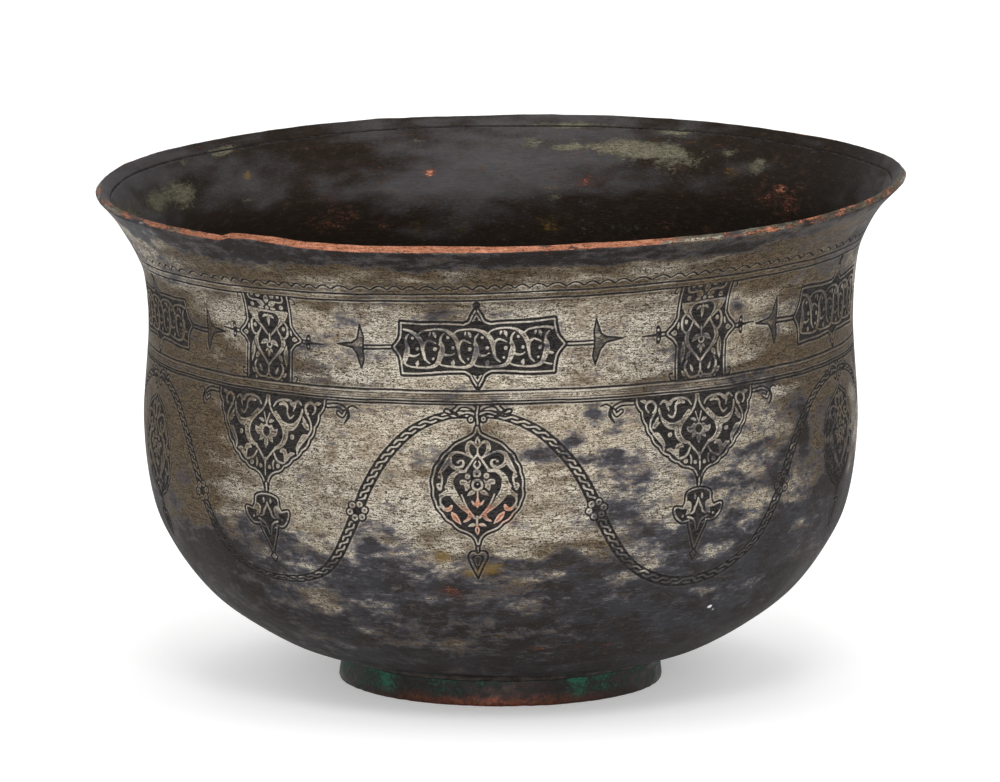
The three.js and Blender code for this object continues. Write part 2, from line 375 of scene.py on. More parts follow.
def draw_pendant():
    """Half medallion that hangs from the main band, with a drop-shaped leaf on its stem."""
    p = Panel(38, -58, 1)
    # Leaf hooks under the band, beyond the corners
    hook = [(25.0, -1.2), (29.0, -1.0), (31.8, -2.4), (31.2, -4.4), (29.4, -3.4)]
    p.both(hook, 1.8, 1)
    p.both(hook, 0.75)
    p.both([(31.2, -3.0), (34.2, -1.0), (36.4, -1.6)], 0.55, 1)
    p.both([(33.0, -2.0), (33.4, -4.6), (31.9, -7.0)], [0.5, 1.2, 0.4], 1)
    cusps = [(24.6, -0.4), (22.6, -4.6), (21.0, -9.3), (18.9, -13.4), (16.0, -17.3), (12.4, -20.5),
             (8.8, -23.3), (4.9, -25.6)]
    neck = curve([(4.9, -25.6), (2.6, -26.9), (1.0, -29.2), (0.3, -32.2)], 6)
    right = np.vstack([[(25.0, 3.0)], lobed(cusps, 0.6), neck[1:]])
    p.scale = 0.96
    p.bordered(mirrored_outline(right))
    # Heart of two thick split palmettes
    palmette = [(15.6, -3.4), (14.6, -6.6), (12.6, -8.4), (10.2, -8.9), (7.2, -7.6), (4.4, -5.0),
                (3.3, -5.5), (4.1, -7.4), (6.4, -9.6), (7.4, -11.6), (7.4, -13.8), (5.8, -15.8),
                (3.6, -17.0), (5.6, -17.4), (8.2, -16.2), (9.9, -13.8), (10.3, -11.6), (12.4, -11.0),
                (14.2, -9.4), (15.4, -7.2), (16.2, -4.4)]
    p.both_fill(rounded(palmette))
    p.both([(0.4, -0.2), (0.7, -2.2), (1.8, -4.6), (3.9, -6.8)], [1.1, 0.8, 0.8, 0.8])
    p.both([(5.6, -16.6), (3.6, -18.0), (1.8, -20.0), (0.3, -21.8)], [0.9, 0.8, 0.8, 0.8])
    p.both([(12.8, -9.6), (9.2, -10.0), (8.6, -12.6), (7.4, -15.2)], 0.3, 0.8)
    p.both([(9.4, -8.6), (6.8, -7.8), (5.0, -6.4)], 0.25, 0.7)
    p.stroke([(0, -21.2), (0, -27.4)], [1.0, 0.4])
    # Rings in the upper corners, and the line that runs from each down the side
    p.both(circle(19.0, -3.1, 2.0, -60, 250), [0.6, 1.0, 1.1, 0.7])
    p.leaves((20.4, -1.4), (23.4, -0.7), 1.4)
    p.both([(17.2, -4.6), (18.4, -6.2), (19.4, -8.0), (19.6, -10.2), (18.4, -12.2)],
           [0.7, 0.7, 0.7, 0.8, 0.6])
    p.leaves((18.8, -10.6), (15.6, -8.2), 1.9, -0.4)
    p.leaves((17.4, -10.0), (15.9, -5.8), 1.3, -0.3)
    p.both_rounded([(18.6, -12.4), (16.4, -12.0), (14.9, -13.8), (13.6, -16.4), (14.3, -19.2),
                    (15.0, -16.8), (16.8, -14.6)])
    p.both([(17.0, -13.2), (15.2, -15.4)], 0.25, 0.7)
    p.both_disc(11.9, -13.2, 0.85)
    # Arcs and hooks under the band
    p.both([(15.2, -2.2), (13.8, -1.1), (11.8, -2.2), (10.0, -0.9), (6.8, -0.8), (4.2, -1.7),
            (2.9, -3.4)], [0.6, 0.9, 1.6, 1.0, 0.9, 0.8, 0.6])
    p.both([(5.8, -2.4), (7.8, -2.0), (9.3, -3.2), (9.5, -5.2), (10.8, -7.0), (12.5, -6.0)],
           [0.9, 1.4, 0.9, 0.7, 0.8, 0.5])
    p.both([(12.6, -3.0), (12.0, -4.6)], [0.9, 0.4])
    # Lower leaves
    p.both_rounded([(13.4, -18.6), (11.6, -18.0), (10.2, -18.8), (9.4, -17.2), (7.4, -16.9),
                    (6.5, -18.3), (8.1, -18.7), (8.6, -20.4), (8.8, -22.4), (10.2, -21.2),
                    (11.6, -19.8)])
    p.both([(8.2, -22.2), (6.4, -21.8), (5.0, -20.8), (3.9, -18.9)], [0.9, 1.0, 0.9, 0.6])
    p.both_disc(6.0, -23.4, 0.9)
    p.both([(4.0, -21.6), (3.6, -23.0), (3.9, -24.6)], [0.7, 0.9, 0.5])
    p.both_disc(2.0, -24.2, 0.8)
    # Flower inside the heart
    p.both([(0, -9.8), (1.3, -6.0)], [0.6, 0.5])
    p.leaves((0.9, -9.2), (3.8, -8.4), 1.3, 0.2)
    p.both_rounded([(1.2, -10.6), (2.4, -10.0), (3.6, -11.2), (5.2, -10.9), (5.0, -12.6),
                    (3.6, -13.6), (1.6, -13.0)])
    p.leaves((1.0, -13.4), (3.2, -15.6), 1.7, 0.1)
    p.leaf((0, -13.6), (0, -17.8), 2.1)
    p.disc(0, -12.2, 2.1)
    p.disc(0, -12.2, 1.45, 1)
    p.both([(2.4, -12.0), (4.4, -12.1)], 0.3, 0.9)
    p.scale = 1
    draw_drop(p, DROP_HEIGHT - BAND_BOTTOM)
    return p


def draw_drop(p, top):
    """Small two-lobed leaf with side tips and a long point, below the pendant's stem."""
    p.shift = (0, top)
    p.stem([(0, 4), (0, 0)])
    right = curve([(0.2, 0.2), (2.6, -0.1), (4.8, -1.2), (5.2, -4.0), (6.4, -5.9)], 6)
    tip = curve([(6.4, -5.9), (9.4, -5.4), (9.0, -8.2), (6.6, -10.6), (3.6, -10.5)], 6)
    point = curve([(3.6, -10.5), (3.1, -12.8), (1.6, -16.4), (0, -20.4)], 6)
    p.bordered(mirrored_outline(np.vstack([right, tip[1:], point[1:]])))
    p.leaves((1.4, -3.4), (1.6, -0.9), 1.1)
    p.both([(0, -3.0), (0.5, -4.4), (1.4, -6.0), (2.0, -7.6), (3.4, -8.2)], [0.8, 0.8, 1.0, 0.9, 0.6])
    p.both_rounded([(4.6, -3.6), (3.4, -4.0), (2.8, -5.4), (3.6, -7.8), (5.2, -8.4), (4.9, -6.4),
                    (6.6, -6.2), (5.6, -5.0)])
    p.both_disc(6.4, -8.6, 0.5)
    p.both([(4.2, -9.2), (2.4, -9.9), (1.2, -11.2), (0.3, -14.2)], [0.8, 0.8, 0.9, 0.5])
    p.both([(2.9, -11.4), (1.9, -11.9)], 0.5)
    p.stroke([(0, -20.6), (1.5, -22.4), (0, -24.8), (-1.5, -22.4), (0, -20.6)], 0.55, 1)


def draw_cartouche():
    """Long cartouche with ogee peaks, stems and arrow finials, filled by a running scroll."""
    p = Panel(58, -16.5, 17)
    p.scale = 0.97
    ogee = curve([(4.8, 8.1), (2.6, 9.2), (1.5, 11.2), (0.1, 13.4)], 6)
    side = curve([(27.3, 8.9), (27.6, 6.0), (28.4, 3.0), (30.6, 0.2)], 6)
    top = np.vstack([ogee[::-1], side])
    right = np.vstack([top, (top * (1, -1))[::-1]])
    for x in (-1, 1):
        p.stem([(29.5 * x, 0), (41.8 * x, 0)])
    p.bordered(mirrored_outline(right), 0.6, 0.8)
    # Arrow finials
    arrow = [(42.6, 8.2), (43.6, 5.2), (44.3, 2.9), (46.4, 1.4), (52.4, 0.6), (46.2, -0.6),
             (44.3, -2.8), (43.4, -5.4), (42.5, -7.5), (41.5, -4.6), (41.9, -1.4), (41.9, 1.2),
             (41.6, 3.8)]
    p.both_fill(arrow, 0.45)
    for x in (-1, 1):
        p.stroke(np.vstack([arrow, arrow[:1]]) * (x, 1), 0.5, 1)
    # Knobs above and below
    for y in (1, -1):
        p.stroke([(0, 13.2 * y), (0, 14.0 * y)], 0.6, 1)
        p.disc(0, 15.0 * y, 1.35 if y > 0 else 0.6, 0.85)
        p.fill(np.array([(-2.0, 9.0), (0, 12.0), (2.0, 9.0), (0, 9.8)]) * (1, y))
        p.fill(np.array([(-0.7, 9.8), (0, 11.0), (0.7, 9.8)]) * (1, y), 1)
    # Strands that fall and rise by turns, each with a hook, buds and leaves in its bend
    falling = [(-14.4, 4.6), (-12.4, 6.1), (-8.0, 6.6), (-4.6, 6.1), (-2.1, 4.5), (-0.6, 2.2),
               (0, -0.7), (0.8, -3.8), (2.6, -5.4)]
    rising = [(-7.6, -4.9), (-5.6, -6.2), (-1.3, -6.7), (3.0, -6.6), (5.3, -5.3), (6.5, -2.0),
              (6.7, 0.1), (6.1, 2.2), (6.5, 3.9), (7.5, 5.0)]
    strands = (
        (falling, [0.6, 0.6, 0.7, 1.0, 1.6, 1.7, 1.2, 0.9, 0.4]),
        (rising, [0.6, 0.6, 0.7, 1.0, 1.5, 2.2, 1.6, 0.9, 0.8, 0.4]),
        ([(-5.9, -0.9), (-5.1, -2.5), (-3.0, -2.9), (-1.3, -2.1)], [1.2, 1.0, 0.7, 0.4]),
        ([(0.1, 0.6), (0.7, 1.9), (2.2, 2.6), (4.6, 1.5)], [1.2, 0.9, 0.8, 0.4]),
    )
    shapes = (
        leaf((-8.8, 5.8), (-8.0, 3.2), 1.3, 0.2), leaf((-1.9, -6.4), (-1.6, -4.2), 1.5, 0.2),
        leaf((-7.2, 1.4), (-5.4, 0.2), 1.0), leaf((2.9, 5.9), (2.3, 4.0), 0.9), circle(-3.8, 3.5, 0.6),
        circle(-2.1, -0.3, 0.65), circle(4.2, -0.6, 0.75), circle(3.7, -3.9, 0.5),
    )
    first, spacing, end = -32.2, 12.55, 26.7
    for middle in np.arange(first, -first, spacing):
        for points, widths in strands:
            path = curve(np.array(points) + (middle, 0))
            nib = np.interp(np.linspace(0, 1, len(path)), np.linspace(0, 1, len(widths)), widths)
            keep = np.abs(path[:, 0]) < end
            if keep.sum() > 1:
                p.stroke(path[keep], nib[keep])
        for shape in shapes:
            if np.abs(shape[:, 0] + middle).max() < end:
                p.fill(shape + (middle, 0))
    return p


def draw_upright():
    """Upright cartouche between the neck lines and the main band, with a vase of scrolls."""
    p = Panel(24, -17, 17)
    ogee = curve([(9.6, 4.6), (11.2, 2.4), (13.4, 0.5), (13.4, -0.4), (11.2, -1.9), (9.6, -4.0)], 6)
    right = np.vstack([[(9.6, 18)], ogee, [(9.6, -18)]])
    for x in (-1, 1):
        p.stem([(12.6 * x, 0), (16.4 * x, 0)], 0.7, 0.5)
        p.stroke([(17.6 * x, 0), (23.0 * x, 0.1)], [0.9, 0.3], 1)
    p.bordered(mirrored_outline(right))
    p.stroke([(8.3, 17), (8.3, -17)], 0.25, 0.6)
    p.stroke([(-8.3, 17), (-8.3, -17)], 0.25, 0.6)
    p.leaves((9.8, 0), (12.4, 0.1), 1.8)
    for x in (-1, 1):
        for y in (-1, 1):
            p.stroke([(16.7 * x, 0.5 * y), (17.0 * x, 2.2 * y)], [1.9, 1.4], 1)
            p.disc(16.9 * x, 1.4 * y, 0.45)
            p.stroke(curve([(10.4 * x, 14.9 * y), (12.0 * x, 14.6 * y), (12.6 * x, 13.0 * y),
                            (11.4 * x, 12.8 * y)]), 0.5, 1)
    p.leaves((9.2, 3.4), (9.7, 0.9), 0.9)
    # Flower above the light bar
    p.leaves((0.7, 11.0), (4.3, 13.3), 2.2)
    p.leaf((0, 12.0), (0.7, 16.2), 2.0)
    p.leaves((1.2, 10.3), (3.9, 9.9), 1.2)
    p.both_disc(2.9, 15.0, 0.95)
    p.both([(3.9, 12.8), (6.0, 12.8), (7.3, 13.6), (7.3, 15.4)], [0.5, 0.8, 0.7, 0.5])
    p.both_disc(6.2, 10.8, 0.9)
    p.both_disc(5.5, 15.0, 0.7)
    p.disc(0, 10.3, 1.3, 1)
    p.disc(0, 10.3, 0.75)
    p.stroke([(-8.4, 9.0), (8.4, 9.0)], 0.9)
    # Vase with its crossing arms
    p.both_rounded([(8.4, 8.9), (2.4, 8.9), (3.9, 7.9), (4.4, 6.2), (3.6, 4.4), (1.2, 1.9),
                    (0.5, 0.4), (1.7, 1.2), (4.4, 3.8), (7.0, 5.8)])
    p.both([(5.6, 8.0), (5.6, 6.2), (3.6, 3.8)], 0.3, 0.75)
    p.leaf((0, 8.4), (0, 3.6), 1.4)
    p.leaves((0.4, 7.6), (2.6, 6.4), 1.1, 0.2)
    p.stroke([(0, 1.0), (0, -1.4)], 0.8)
    p.both([(6.0, 6.0), (7.5, 4.7), (8.0, 2.6), (7.4, 0.6), (5.8, -0.2), (4.6, 1.0), (3.5, 2.8)],
           [0.5, 0.8, 1.0, 0.9, 0.8, 0.8, 0.6])
    p.both_disc(6.2, 3.2, 0.75)
    # Heart below and its flower
    p.both([(5.2, 0.2), (6.0, -1.8), (5.5, -3.8), (3.8, -6.0), (1.8, -8.0), (0.2, -9.9)],
           [1.2, 1.8, 1.6, 1.1, 0.8, 0.8])
    p.leaves((0.6, -1.2), (3.9, -3.4), 1.7, 0.2)
    p.disc(0, -2.9, 1.3)
    p.disc(0, -2.9, 0.7, 1)
    p.leaves((0.3, -4.2), (1.6, -5.8), 0.9)
    p.leaf((0, -4.6), (0, -7.6), 1.3)
    # Side leaves and the scrolls at the foot
    p.leaves((7.4, -2.4), (7.9, -10.6), 1.8, -0.4)
    p.both([(7.4, -4.4), (7.7, -8.0)], 0.25, 0.7)
    p.leaves((4.4, -6.2), (5.9, -8.8), 1.6)
    p.stroke([(0, -9.8), (0, -13.0)], 0.8)
    p.both([(5.4, -9.2), (6.3, -10.9), (5.6, -13.0), (4.0, -14.4), (1.2, -14.2)],
           [0.6, 0.9, 1.0, 0.8, 0.8])
    p.leaves((2.9, -12.9), (4.2, -10.2), 1.1)
    p.leaves((6.2, -13.8), (7.8, -12.0), 1.3)
    p.leaves((5.2, -16.0), (5.9, -14.2), 0.9)
    p.disc(0, -13.8, 1.05)
    p.disc(0, -13.8, 0.4, 1)
    return p


def draw_rosette():
    """Six balls round a dark centre, where the plaited band is fastened."""
    p = Panel(6, -6, 6)
    for far, radius, value in ((2.55, 1.75, 1), (2.6, 1.15, 0), (2.7, 0.33, 0.85)):
        for turn in np.radians(60 * np.arange(6) + 12):
            p.disc(far * math.cos(turn), far * math.sin(turn), radius, value)
    p.disc(0, 0, 1.45, 1)
    return p


# Plaited band: shape of one half of an arch, from a medallion's middle to the next pendant's

ROPE_SPAN = 47.5
ROPE_PATH = [
    (-6, 112.6), (0, 113.2), (6, 112.6), (13, 107.6), (19, 98), (22.6, 88.4), (25, 79.6),
    (27.3, 71.8), (30.6, 63), (34.8, 56.6), (40.8, 52.8), (ROPE_SPAN, 51.6), (54, 52.8),
]
ROPE_MIDDLE = 81
ROPE_WIDTH = 2.75
ROPE_TURN = 2.8
# Where a rosette sits on it, and how many degrees apart the two motifs that it joins may be
ROSETTE_PLACE = 25
ROSETTE_HEIGHT = 79.6
NEIGHBOURS_WITHIN = 50


def draw_rope():
    """Two cut lines with a plait of slanted strands between them, from arch top to arch bottom."""
    p = Panel(56, 42 - ROPE_MIDDLE, 120 - ROPE_MIDDLE)
    path = curve(np.array(ROPE_PATH) - (0, ROPE_MIDDLE), 30)
    way = np.concatenate([[0], np.cumsum(np.hypot(*np.diff(path, axis=0).T))])
    p.stroke(path[::3], ROPE_WIDTH, 1)
    strand = curve([(-1.9, -0.5), (-0.6, -0.55), (0, 0), (0.6, 0.55), (1.9, 0.5)], 4)
    slope = np.gradient(path, way, axis=0)
    for turn in np.arange(2.2, way[-1] - 2.2, ROPE_TURN):
        s = turn + strand[:, 0]
        x, y = np.interp(s, way, path[:, 0]), np.interp(s, way, path[:, 1])
        dx, dy = np.interp(s, way, slope[:, 0]), np.interp(s, way, slope[:, 1])
        p.stroke(np.stack([x - dy * strand[:, 1], y + dx * strand[:, 1]], 1), [0.4, 0.65, 0.6, 0.65, 0.4])
    return p


def front_rise(height):
    """How much higher the engraver's rows run at the front than level, by height."""
    return np.interp(height, [95, 118, 152, 158], [0, 1.5, 3.2, 3.5])


def side_rise(angle, height):
    """How much higher the motifs under the band stand than level, most at the right."""
    return (0.8 + 2.6 * np.sin(np.radians(angle))) * np.interp(height, [50, 58, 92, 116], [0, 1, 1, 0])


def cut_line(gap, width):
    """Ink of a cut of this width, by distance from its middle."""
    return np.clip(0.5 - (np.abs(gap) - width / 2) / 0.28, 0, 1)


def engraving(angles, heights):
    """Ink on the outer wall, one row for each height and one column for each angle."""
    rng = np.random.default_rng(SEED)
    turn = np.radians(angles)[None, :]
    level = heights[:, None] - front_rise(heights)[:, None] * np.cos(turn)
    level = level - side_rise(angles[None, :], heights[:, None])
    shake = 0.1 * np.sin(5 * turn + 1) + 0.08 * np.sin(17 * turn) + 0.05 * np.sin(41 * turn + 2)
    ink = np.zeros(level.shape, np.float32)
    for height, width, depth in WALL_LINES:
        ink = np.maximum(ink, depth * cut_line(level - height - shake, width))
    crest = np.sqrt(np.sin(70 * turn + 0.8 * np.sin(9 * turn) + 0.5 * np.sin(23 * turn)) ** 2 + 0.03)
    wave = WAVE_LINE - 0.9 + 1.5 * crest + shake
    slope = np.gradient(wave, axis=1) / (turn[0, 1] - turn[0, 0]) / ORNAMENT_RADIUS
    ink = np.maximum(ink, cut_line((level - wave) / np.hypot(1, slope), 0.5))
    rope, rosette = draw_rope(), draw_rosette()
    rope.soften()
    rosette.soften()
    spans = [(top, wrapped(pendant - top)) for top in ROPE_TOPS for pendant in PENDANT_ANGLES]
    halves = [(top, span) for top, span in spans if abs(span) < NEIGHBOURS_WITHIN]
    for top, span in halves:
        stretch = ROPE_SPAN / abs(span)
        place = wrapped(angles - top) * np.sign(span) * stretch
        columns = np.flatnonzero((place > -0.01) & (place < ROPE_SPAN + 0.01))
        part = np.ix_(range(len(heights)), columns)
        across = np.broadcast_to(place[columns], level[part].shape)
        ink[part] = np.maximum(ink[part], rope.sample(rope.ink, across, level[part] - ROPE_MIDDLE))
    for top, span in halves:
        stamp(ink, rosette, angles, level, top + ROSETTE_PLACE * span / ROPE_SPAN, ROSETTE_HEIGHT, 0, rng)
    straight = [0] * len(MEDALLION_ANGLES)
    stamps = (
        (draw_cartouche(), CARTOUCHE_ANGLES, straight, CARTOUCHE_HEIGHT),
        (draw_medallion(), MEDALLION_ANGLES, straight, MEDALLION_HEIGHT),
        (draw_upright(), UPRIGHT_ANGLES, UPRIGHT_SLANTS, UPRIGHT_HEIGHT),
        (draw_pendant(), PENDANT_ANGLES, straight, BAND_BOTTOM - 0.6),
    )
    for panel, places, slants, height in stamps:
        panel.soften()
        for angle, slant in zip(places, slants):
            stamp(ink, panel, angles, level, angle, height, slant, rng)
    return ink


def stamp(ink, panel, angles, level, angle, height, slant, rng):
    """Draws a panel on the wall, a little askew as a hand draws it, over what is there."""
    along = np.radians(wrapped(angles - angle)) * ORNAMENT_RADIUS
    columns = np.flatnonzero(np.abs(along) < -panel.left + 1)
    top = panel.low + panel.ink.shape[0] / panel.DOTS
    rows = np.flatnonzero((level.min(1) < height + top + 1) & (level.max(1) > height + panel.low - 1))
    part = np.ix_(rows, columns)
    x = np.broadcast_to(along[columns], (len(rows), len(columns)))
    y = level[part] - height
    size, tilt = 1 + rng.normal(0, 0.008), slant + rng.normal(0, 0.006)
    a, b, c, d = rng.uniform(0, 2 * math.pi, 4)
    across = x * size + tilt * y + 0.16 * np.sin(0.31 * x + a) + 0.14 * np.sin(0.37 * y + b)
    up = y * size - tilt * x + 0.14 * np.sin(0.33 * x + c) + 0.12 * np.sin(0.41 * y + d)
    above = height > BAND_BOTTOM
    low, high = (BAND_TOP, LOWER_LINE) if above else (0, BAND_BOTTOM - 0.2)
    free = (level[part] > low) & (level[part] < high)
    hidden = panel.sample(panel.cover, across, up) * free
    ink[part] = ink[part] * (1 - hidden) + panel.sample(panel.ink, across, up) * free


# The section of the bowl: from under its middle out to the lip, over it and down inside

ARC_STEP = 0.1
LIP_WEAR = 0.35


def thickness(height):
    return WALL + (LIP_THICKNESS - WALL) * smooth(LIP_THICKENING_STARTS, RIM_HEIGHT, height)


def lean(height):
    """Rise for each millimetre to the right."""
    rise = np.clip((height - LEAN_STARTS) / (NECK_HEIGHT - LEAN_STARTS), 0, 1)
    return NECK_LEAN * rise**2 + (RIM_LEAN - NECK_LEAN) * smooth(LIP_THICKENING_STARTS, RIM_HEIGHT, height)


def section():
    """The way at even steps, its radius and height, and where the lip's edge starts and ends."""
    outer = curve(OUTER_PROFILE, 80)
    way = np.gradient(outer, axis=0)
    way /= np.hypot(*way.T)[:, None]
    inner = outer + np.stack([-way[:, 1], way[:, 0]], 1) * thickness(outer[:, 1])[:, None]
    inner[0] = (0, inner[1, 1])
    path = np.vstack([outer, inner[::-1]])
    steps = np.concatenate([[0], np.cumsum(np.hypot(*np.diff(path, axis=0).T))])
    lip = steps[len(outer) - 1], steps[len(outer)]
    arc = np.arange(0, steps[-1], ARC_STEP)
    points = np.stack([np.interp(arc, steps, path[:, 0]), np.interp(arc, steps, path[:, 1])], 1)
    # The corners of the lip's edge are worn round
    reach = np.arange(-9, 10)
    weight = np.exp(-(reach * ARC_STEP / LIP_WEAR) ** 2)
    weight /= weight.sum()
    near = np.arange(reach[-1], len(points) - reach[-1])
    points[near] = sum(w * points[near + k] for w, k in zip(weight, reach))
    return arc, points, lip


ARC, POINTS, (LIP_START, LIP_END) = section()
ARC_END = ARC[-1]


def outside_arc(height):
    """Way along the outer wall to a height."""
    low = ARC < LIP_START
    return np.interp(height, POINTS[low, 1], ARC[low])


def inside_arc(height):
    """Way along the inner wall to a height."""
    low = ARC > LIP_END
    return np.interp(height, POINTS[low, 1][::-1], ARC[low][::-1])


# The skin: rasters of one row for each step of the way and one column for each angle

SKIN_COLUMNS = 2560
SKIN_ROWS = 1024
COLUMN_SIZE = 2 * math.pi * ORNAMENT_RADIUS / SKIN_COLUMNS
ROW_SIZE = ARC_END / (SKIN_ROWS - 1)
SKIN_ARC = np.arange(SKIN_ROWS) * ROW_SIZE
SKIN_ANGLE = np.arange(SKIN_COLUMNS) * 360 / SKIN_COLUMNS
SKIN_RADIUS = np.interp(SKIN_ARC, ARC, POINTS[:, 0])
SKIN_HEIGHT = np.interp(SKIN_ARC, ARC, POINTS[:, 1])
chance = np.random.default_rng(SEED)


def clouds(long, tall, fall=1.6):
    """Seeded patchy noise of deviation 1, with patches of about this size in millimetres."""
    white = chance.normal(size=(SKIN_ROWS, SKIN_COLUMNS))
    across = np.fft.rfftfreq(SKIN_COLUMNS, COLUMN_SIZE)[None, :] * long
    up = np.fft.fftfreq(SKIN_ROWS, ROW_SIZE)[:, None] * tall
    weight = (1 + 4 * (across**2 + up**2)) ** (-fall / 2 - 0.5)
    weight[0, 0] = 0
    field = np.fft.irfft2(np.fft.rfft2(white) * weight, s=white.shape)
    return (field / field.std()).astype(np.float32)


def spot(field, arc, angle, width, tall, amount):
    """Adds a soft oval spot with these half sizes."""
    rows = np.flatnonzero(np.abs(SKIN_ARC - arc) < 3 * tall)
    turn = np.radians(wrapped(SKIN_ANGLE - angle))
    columns = np.flatnonzero(np.abs(turn) < 3 * width / 100)
    part = np.ix_(rows, columns)
    across = turn[columns][None, :] * SKIN_RADIUS[rows][:, None] / width
    up = (SKIN_ARC[rows][:, None] - arc) / tall
    field[part] += amount * np.exp(-(across**2) - up**2)


def spots(field, table, place, sign=1):
    """Adds the spots of a table. Their heights are as seen, with the lean of the wall."""
    for angle, height, width, tall, amount in table:
        level = height - lean(height) * ORNAMENT_RADIUS * math.sin(math.radians(angle))
        spot(field, place(level), angle, width, tall, sign * amount)


# Where the tin has gone on the outer wall, with a painted sheen at the silhouettes (rows at ±84): angle,
# height, half width, half height, amount
OUTER_DARK = [
    (-3.7, 92, 9, 7, 0.1), (-22, 68, 5, 4.4, 0.8), (-21, 52, 8, 4, 0.4), (-40, 66, 13, 8, 0.7),
    (-53, 62, 14, 10, 0.6), (-10, 148, 5, 3, 0.4), (-14, 139, 6, 3, 0.35), (-26, 146, 6, 4, 0.3),
    (-22, 135, 7, 3, 0.3), (-23, 111, 3, 3, 0.35), (-15, 112, 3, 2, 0.3), (-26, 106, 3, 3, 0.3),
    (-13, 102, 7, 2.4, 0.3), (-9, 97, 4, 2, 0.3), (-17, 92, 4, 2.4, 0.25), (14.7, 115, 4.5, 3.6, 0.9),
    (11, 105, 5, 2.4, 0.85), (5.5, 101, 9, 3.6, 0.75), (17.7, 98, 10, 3.6, 0.8), (23, 89, 5, 4, 0.5),
    (20, 80, 10, 5.5, 0.85), (38, 86, 14, 3.6, 0.5), (23, 71, 11, 4.2, 0.6), (10, 64, 6, 4.4, 0.85),
    (3, 75, 5, 3, 0.45), (16, 60, 14, 4, 0.5), (41, 72, 4, 4, 0.4), (34, 54, 12, 4, 0.6),
    (57, 99, 4, 11, 0.75), (50, 87, 6, 7, 0.5), (43, 96, 7, 2.6, 0.45), (31, 68, 10, 4.2, 0.5),
    (66, 90, 7, 12, 0.45), (52, 64, 12, 8, 0.6), (70, 74, 12, 9, 0.5), (-62, 84, 5, 9, 0.35),
    (-5, 66, 4, 2, 0.2), (-33, 78, 4, 4, 0.35), (82, 112, 9, 5, 0.4), (75, 138, 8, 4, 0.3),
    (32, 133, 7, 4, 0.25), (-58, 133, 9, 5, 0.3), (-79, 64, 10, 9, 0.5), (41, 147, 3, 3.6, 0.45),
    # The rows at 84 and -84 degrees paint a blue-grey sheen along the silhouettes
    (50, 135, 2.6, 4, 0.5), (-27, 80, 5, 6, 0.3), (84, 122, 8, 26, 0.2), (-84, 112, 8, 30, 0.2),
    (112, 96, 13, 9, 0.6), (128, 72, 16, 7, 0.6), (139, 104, 7, 12, 0.5), (158, 66, 22, 9, 0.6),
    (171, 100, 9, 5, 0.6), (190, 78, 12, 6, 0.7), (203, 108, 9, 4, 0.5), (226, 70, 15, 9, 0.7),
    (240, 93, 8, 7, 0.5), (262, 84, 9, 8, 0.45), (119, 140, 9, 4, 0.5), (161, 143, 11, 4, 0.4),
    (231, 138, 9, 5, 0.4), (258, 146, 12, 4, 0.4),
]
# Tin left on the dark lower wall
OUTER_TIN = [
    (-33, 44, 9, 5.5, 0.85), (-27, 33, 8, 3, 0.4), (-20, 29, 9, 2.2, 0.4), (-10, 30, 8, 2.2, 0.4),
    (-8, 27, 5, 2.0, 0.45), (-15, 51, 10, 3, 0.2), (1.5, 35, 8, 3, 0.25), (5, 51, 14, 4, 0.12),
    (24, 60, 8, 4, 0.3), (20, 50, 5, 5, 0.3), (36, 63, 6, 4, 0.35), (150, 40, 10, 5, 0.6),
    (197, 36, 12, 4, 0.6), (255, 42, 9, 5, 0.6), (96, 45, 8, 4, 0.5),
]
# Browner tin, and less brown in the rows at 82 and -84 so that the painted sheen at the silhouettes shows:
# angle, height, half width, half height, amount
OUTER_BROWN = [
    (8, 88, 10, 9, 0.5), (26, 84, 24, 16, -0.16), (14, 130, 10, 8, 0.2), (-30, 128, 9, 8, 0.2),
    (-28, 84, 7, 8, 0.2), (150, 90, 14, 9, 0.3), (82, 112, 11, 36, -0.5), (-84, 112, 9, 36, -0.4),
    (205, 88, 12, 9, 0.3),
]
OUTER_OCHRE = [
    (-9.3, 64.5, 4, 3, 0.9), (-1.7, 61, 5.5, 2.6, 0.75), (-5, 59, 6, 2, 0.6), (21, 49, 5, 1.6, 0.3),
    (9, 61, 5, 2, 0.4), (172, 62, 6, 3, 0.8), (236, 55, 5, 3, 0.6),
]
# Bare copper: the worn strands of the front medallion and a few scuffs
OUTER_COPPER = [
    (-3.6, 86, 2.4, 1.8, 0.9), (-7.6, 81.5, 3, 2.4, 0.8), (0.4, 81.5, 3, 2.4, 0.8),
    (-3.5, 82.5, 3.2, 2.2, 0.9), (-6.4, 78.6, 4.6, 2.4, 1.0), (-0.6, 78.8, 4.6, 2.8, 1.0),
    (-3.4, 74.4, 2.8, 2.0, 1.0), (1.0, 84, 2.0, 1.6, 0.6), (0.8, 90.5, 2.2, 1.6, 0.45),
    (-2.0, 93.5, 1.6, 1.2, 0.4), (7.8, 28, 5.5, 1.8, 0.42), (16, 28.5, 4, 1.4, 0.33),
    (22, 28.5, 3.4, 1.4, 0.36), (-9.5, 51, 8, 4, 0.27), (33, 87, 1.6, 3, 0.3), (139, 84, 5, 5, 0.7),
    (216, 95, 4, 4, 0.8), (181, 96, 5, 3, 0.5),
]
# White chips
OUTER_CHIPS = [(41.6, 39.8, 1.3, 1.0, 1.1), (40.2, 39.2, 1.6, 0.35, 0.8), (43.0, 38.2, 0.5, 1.1, 0.7)]
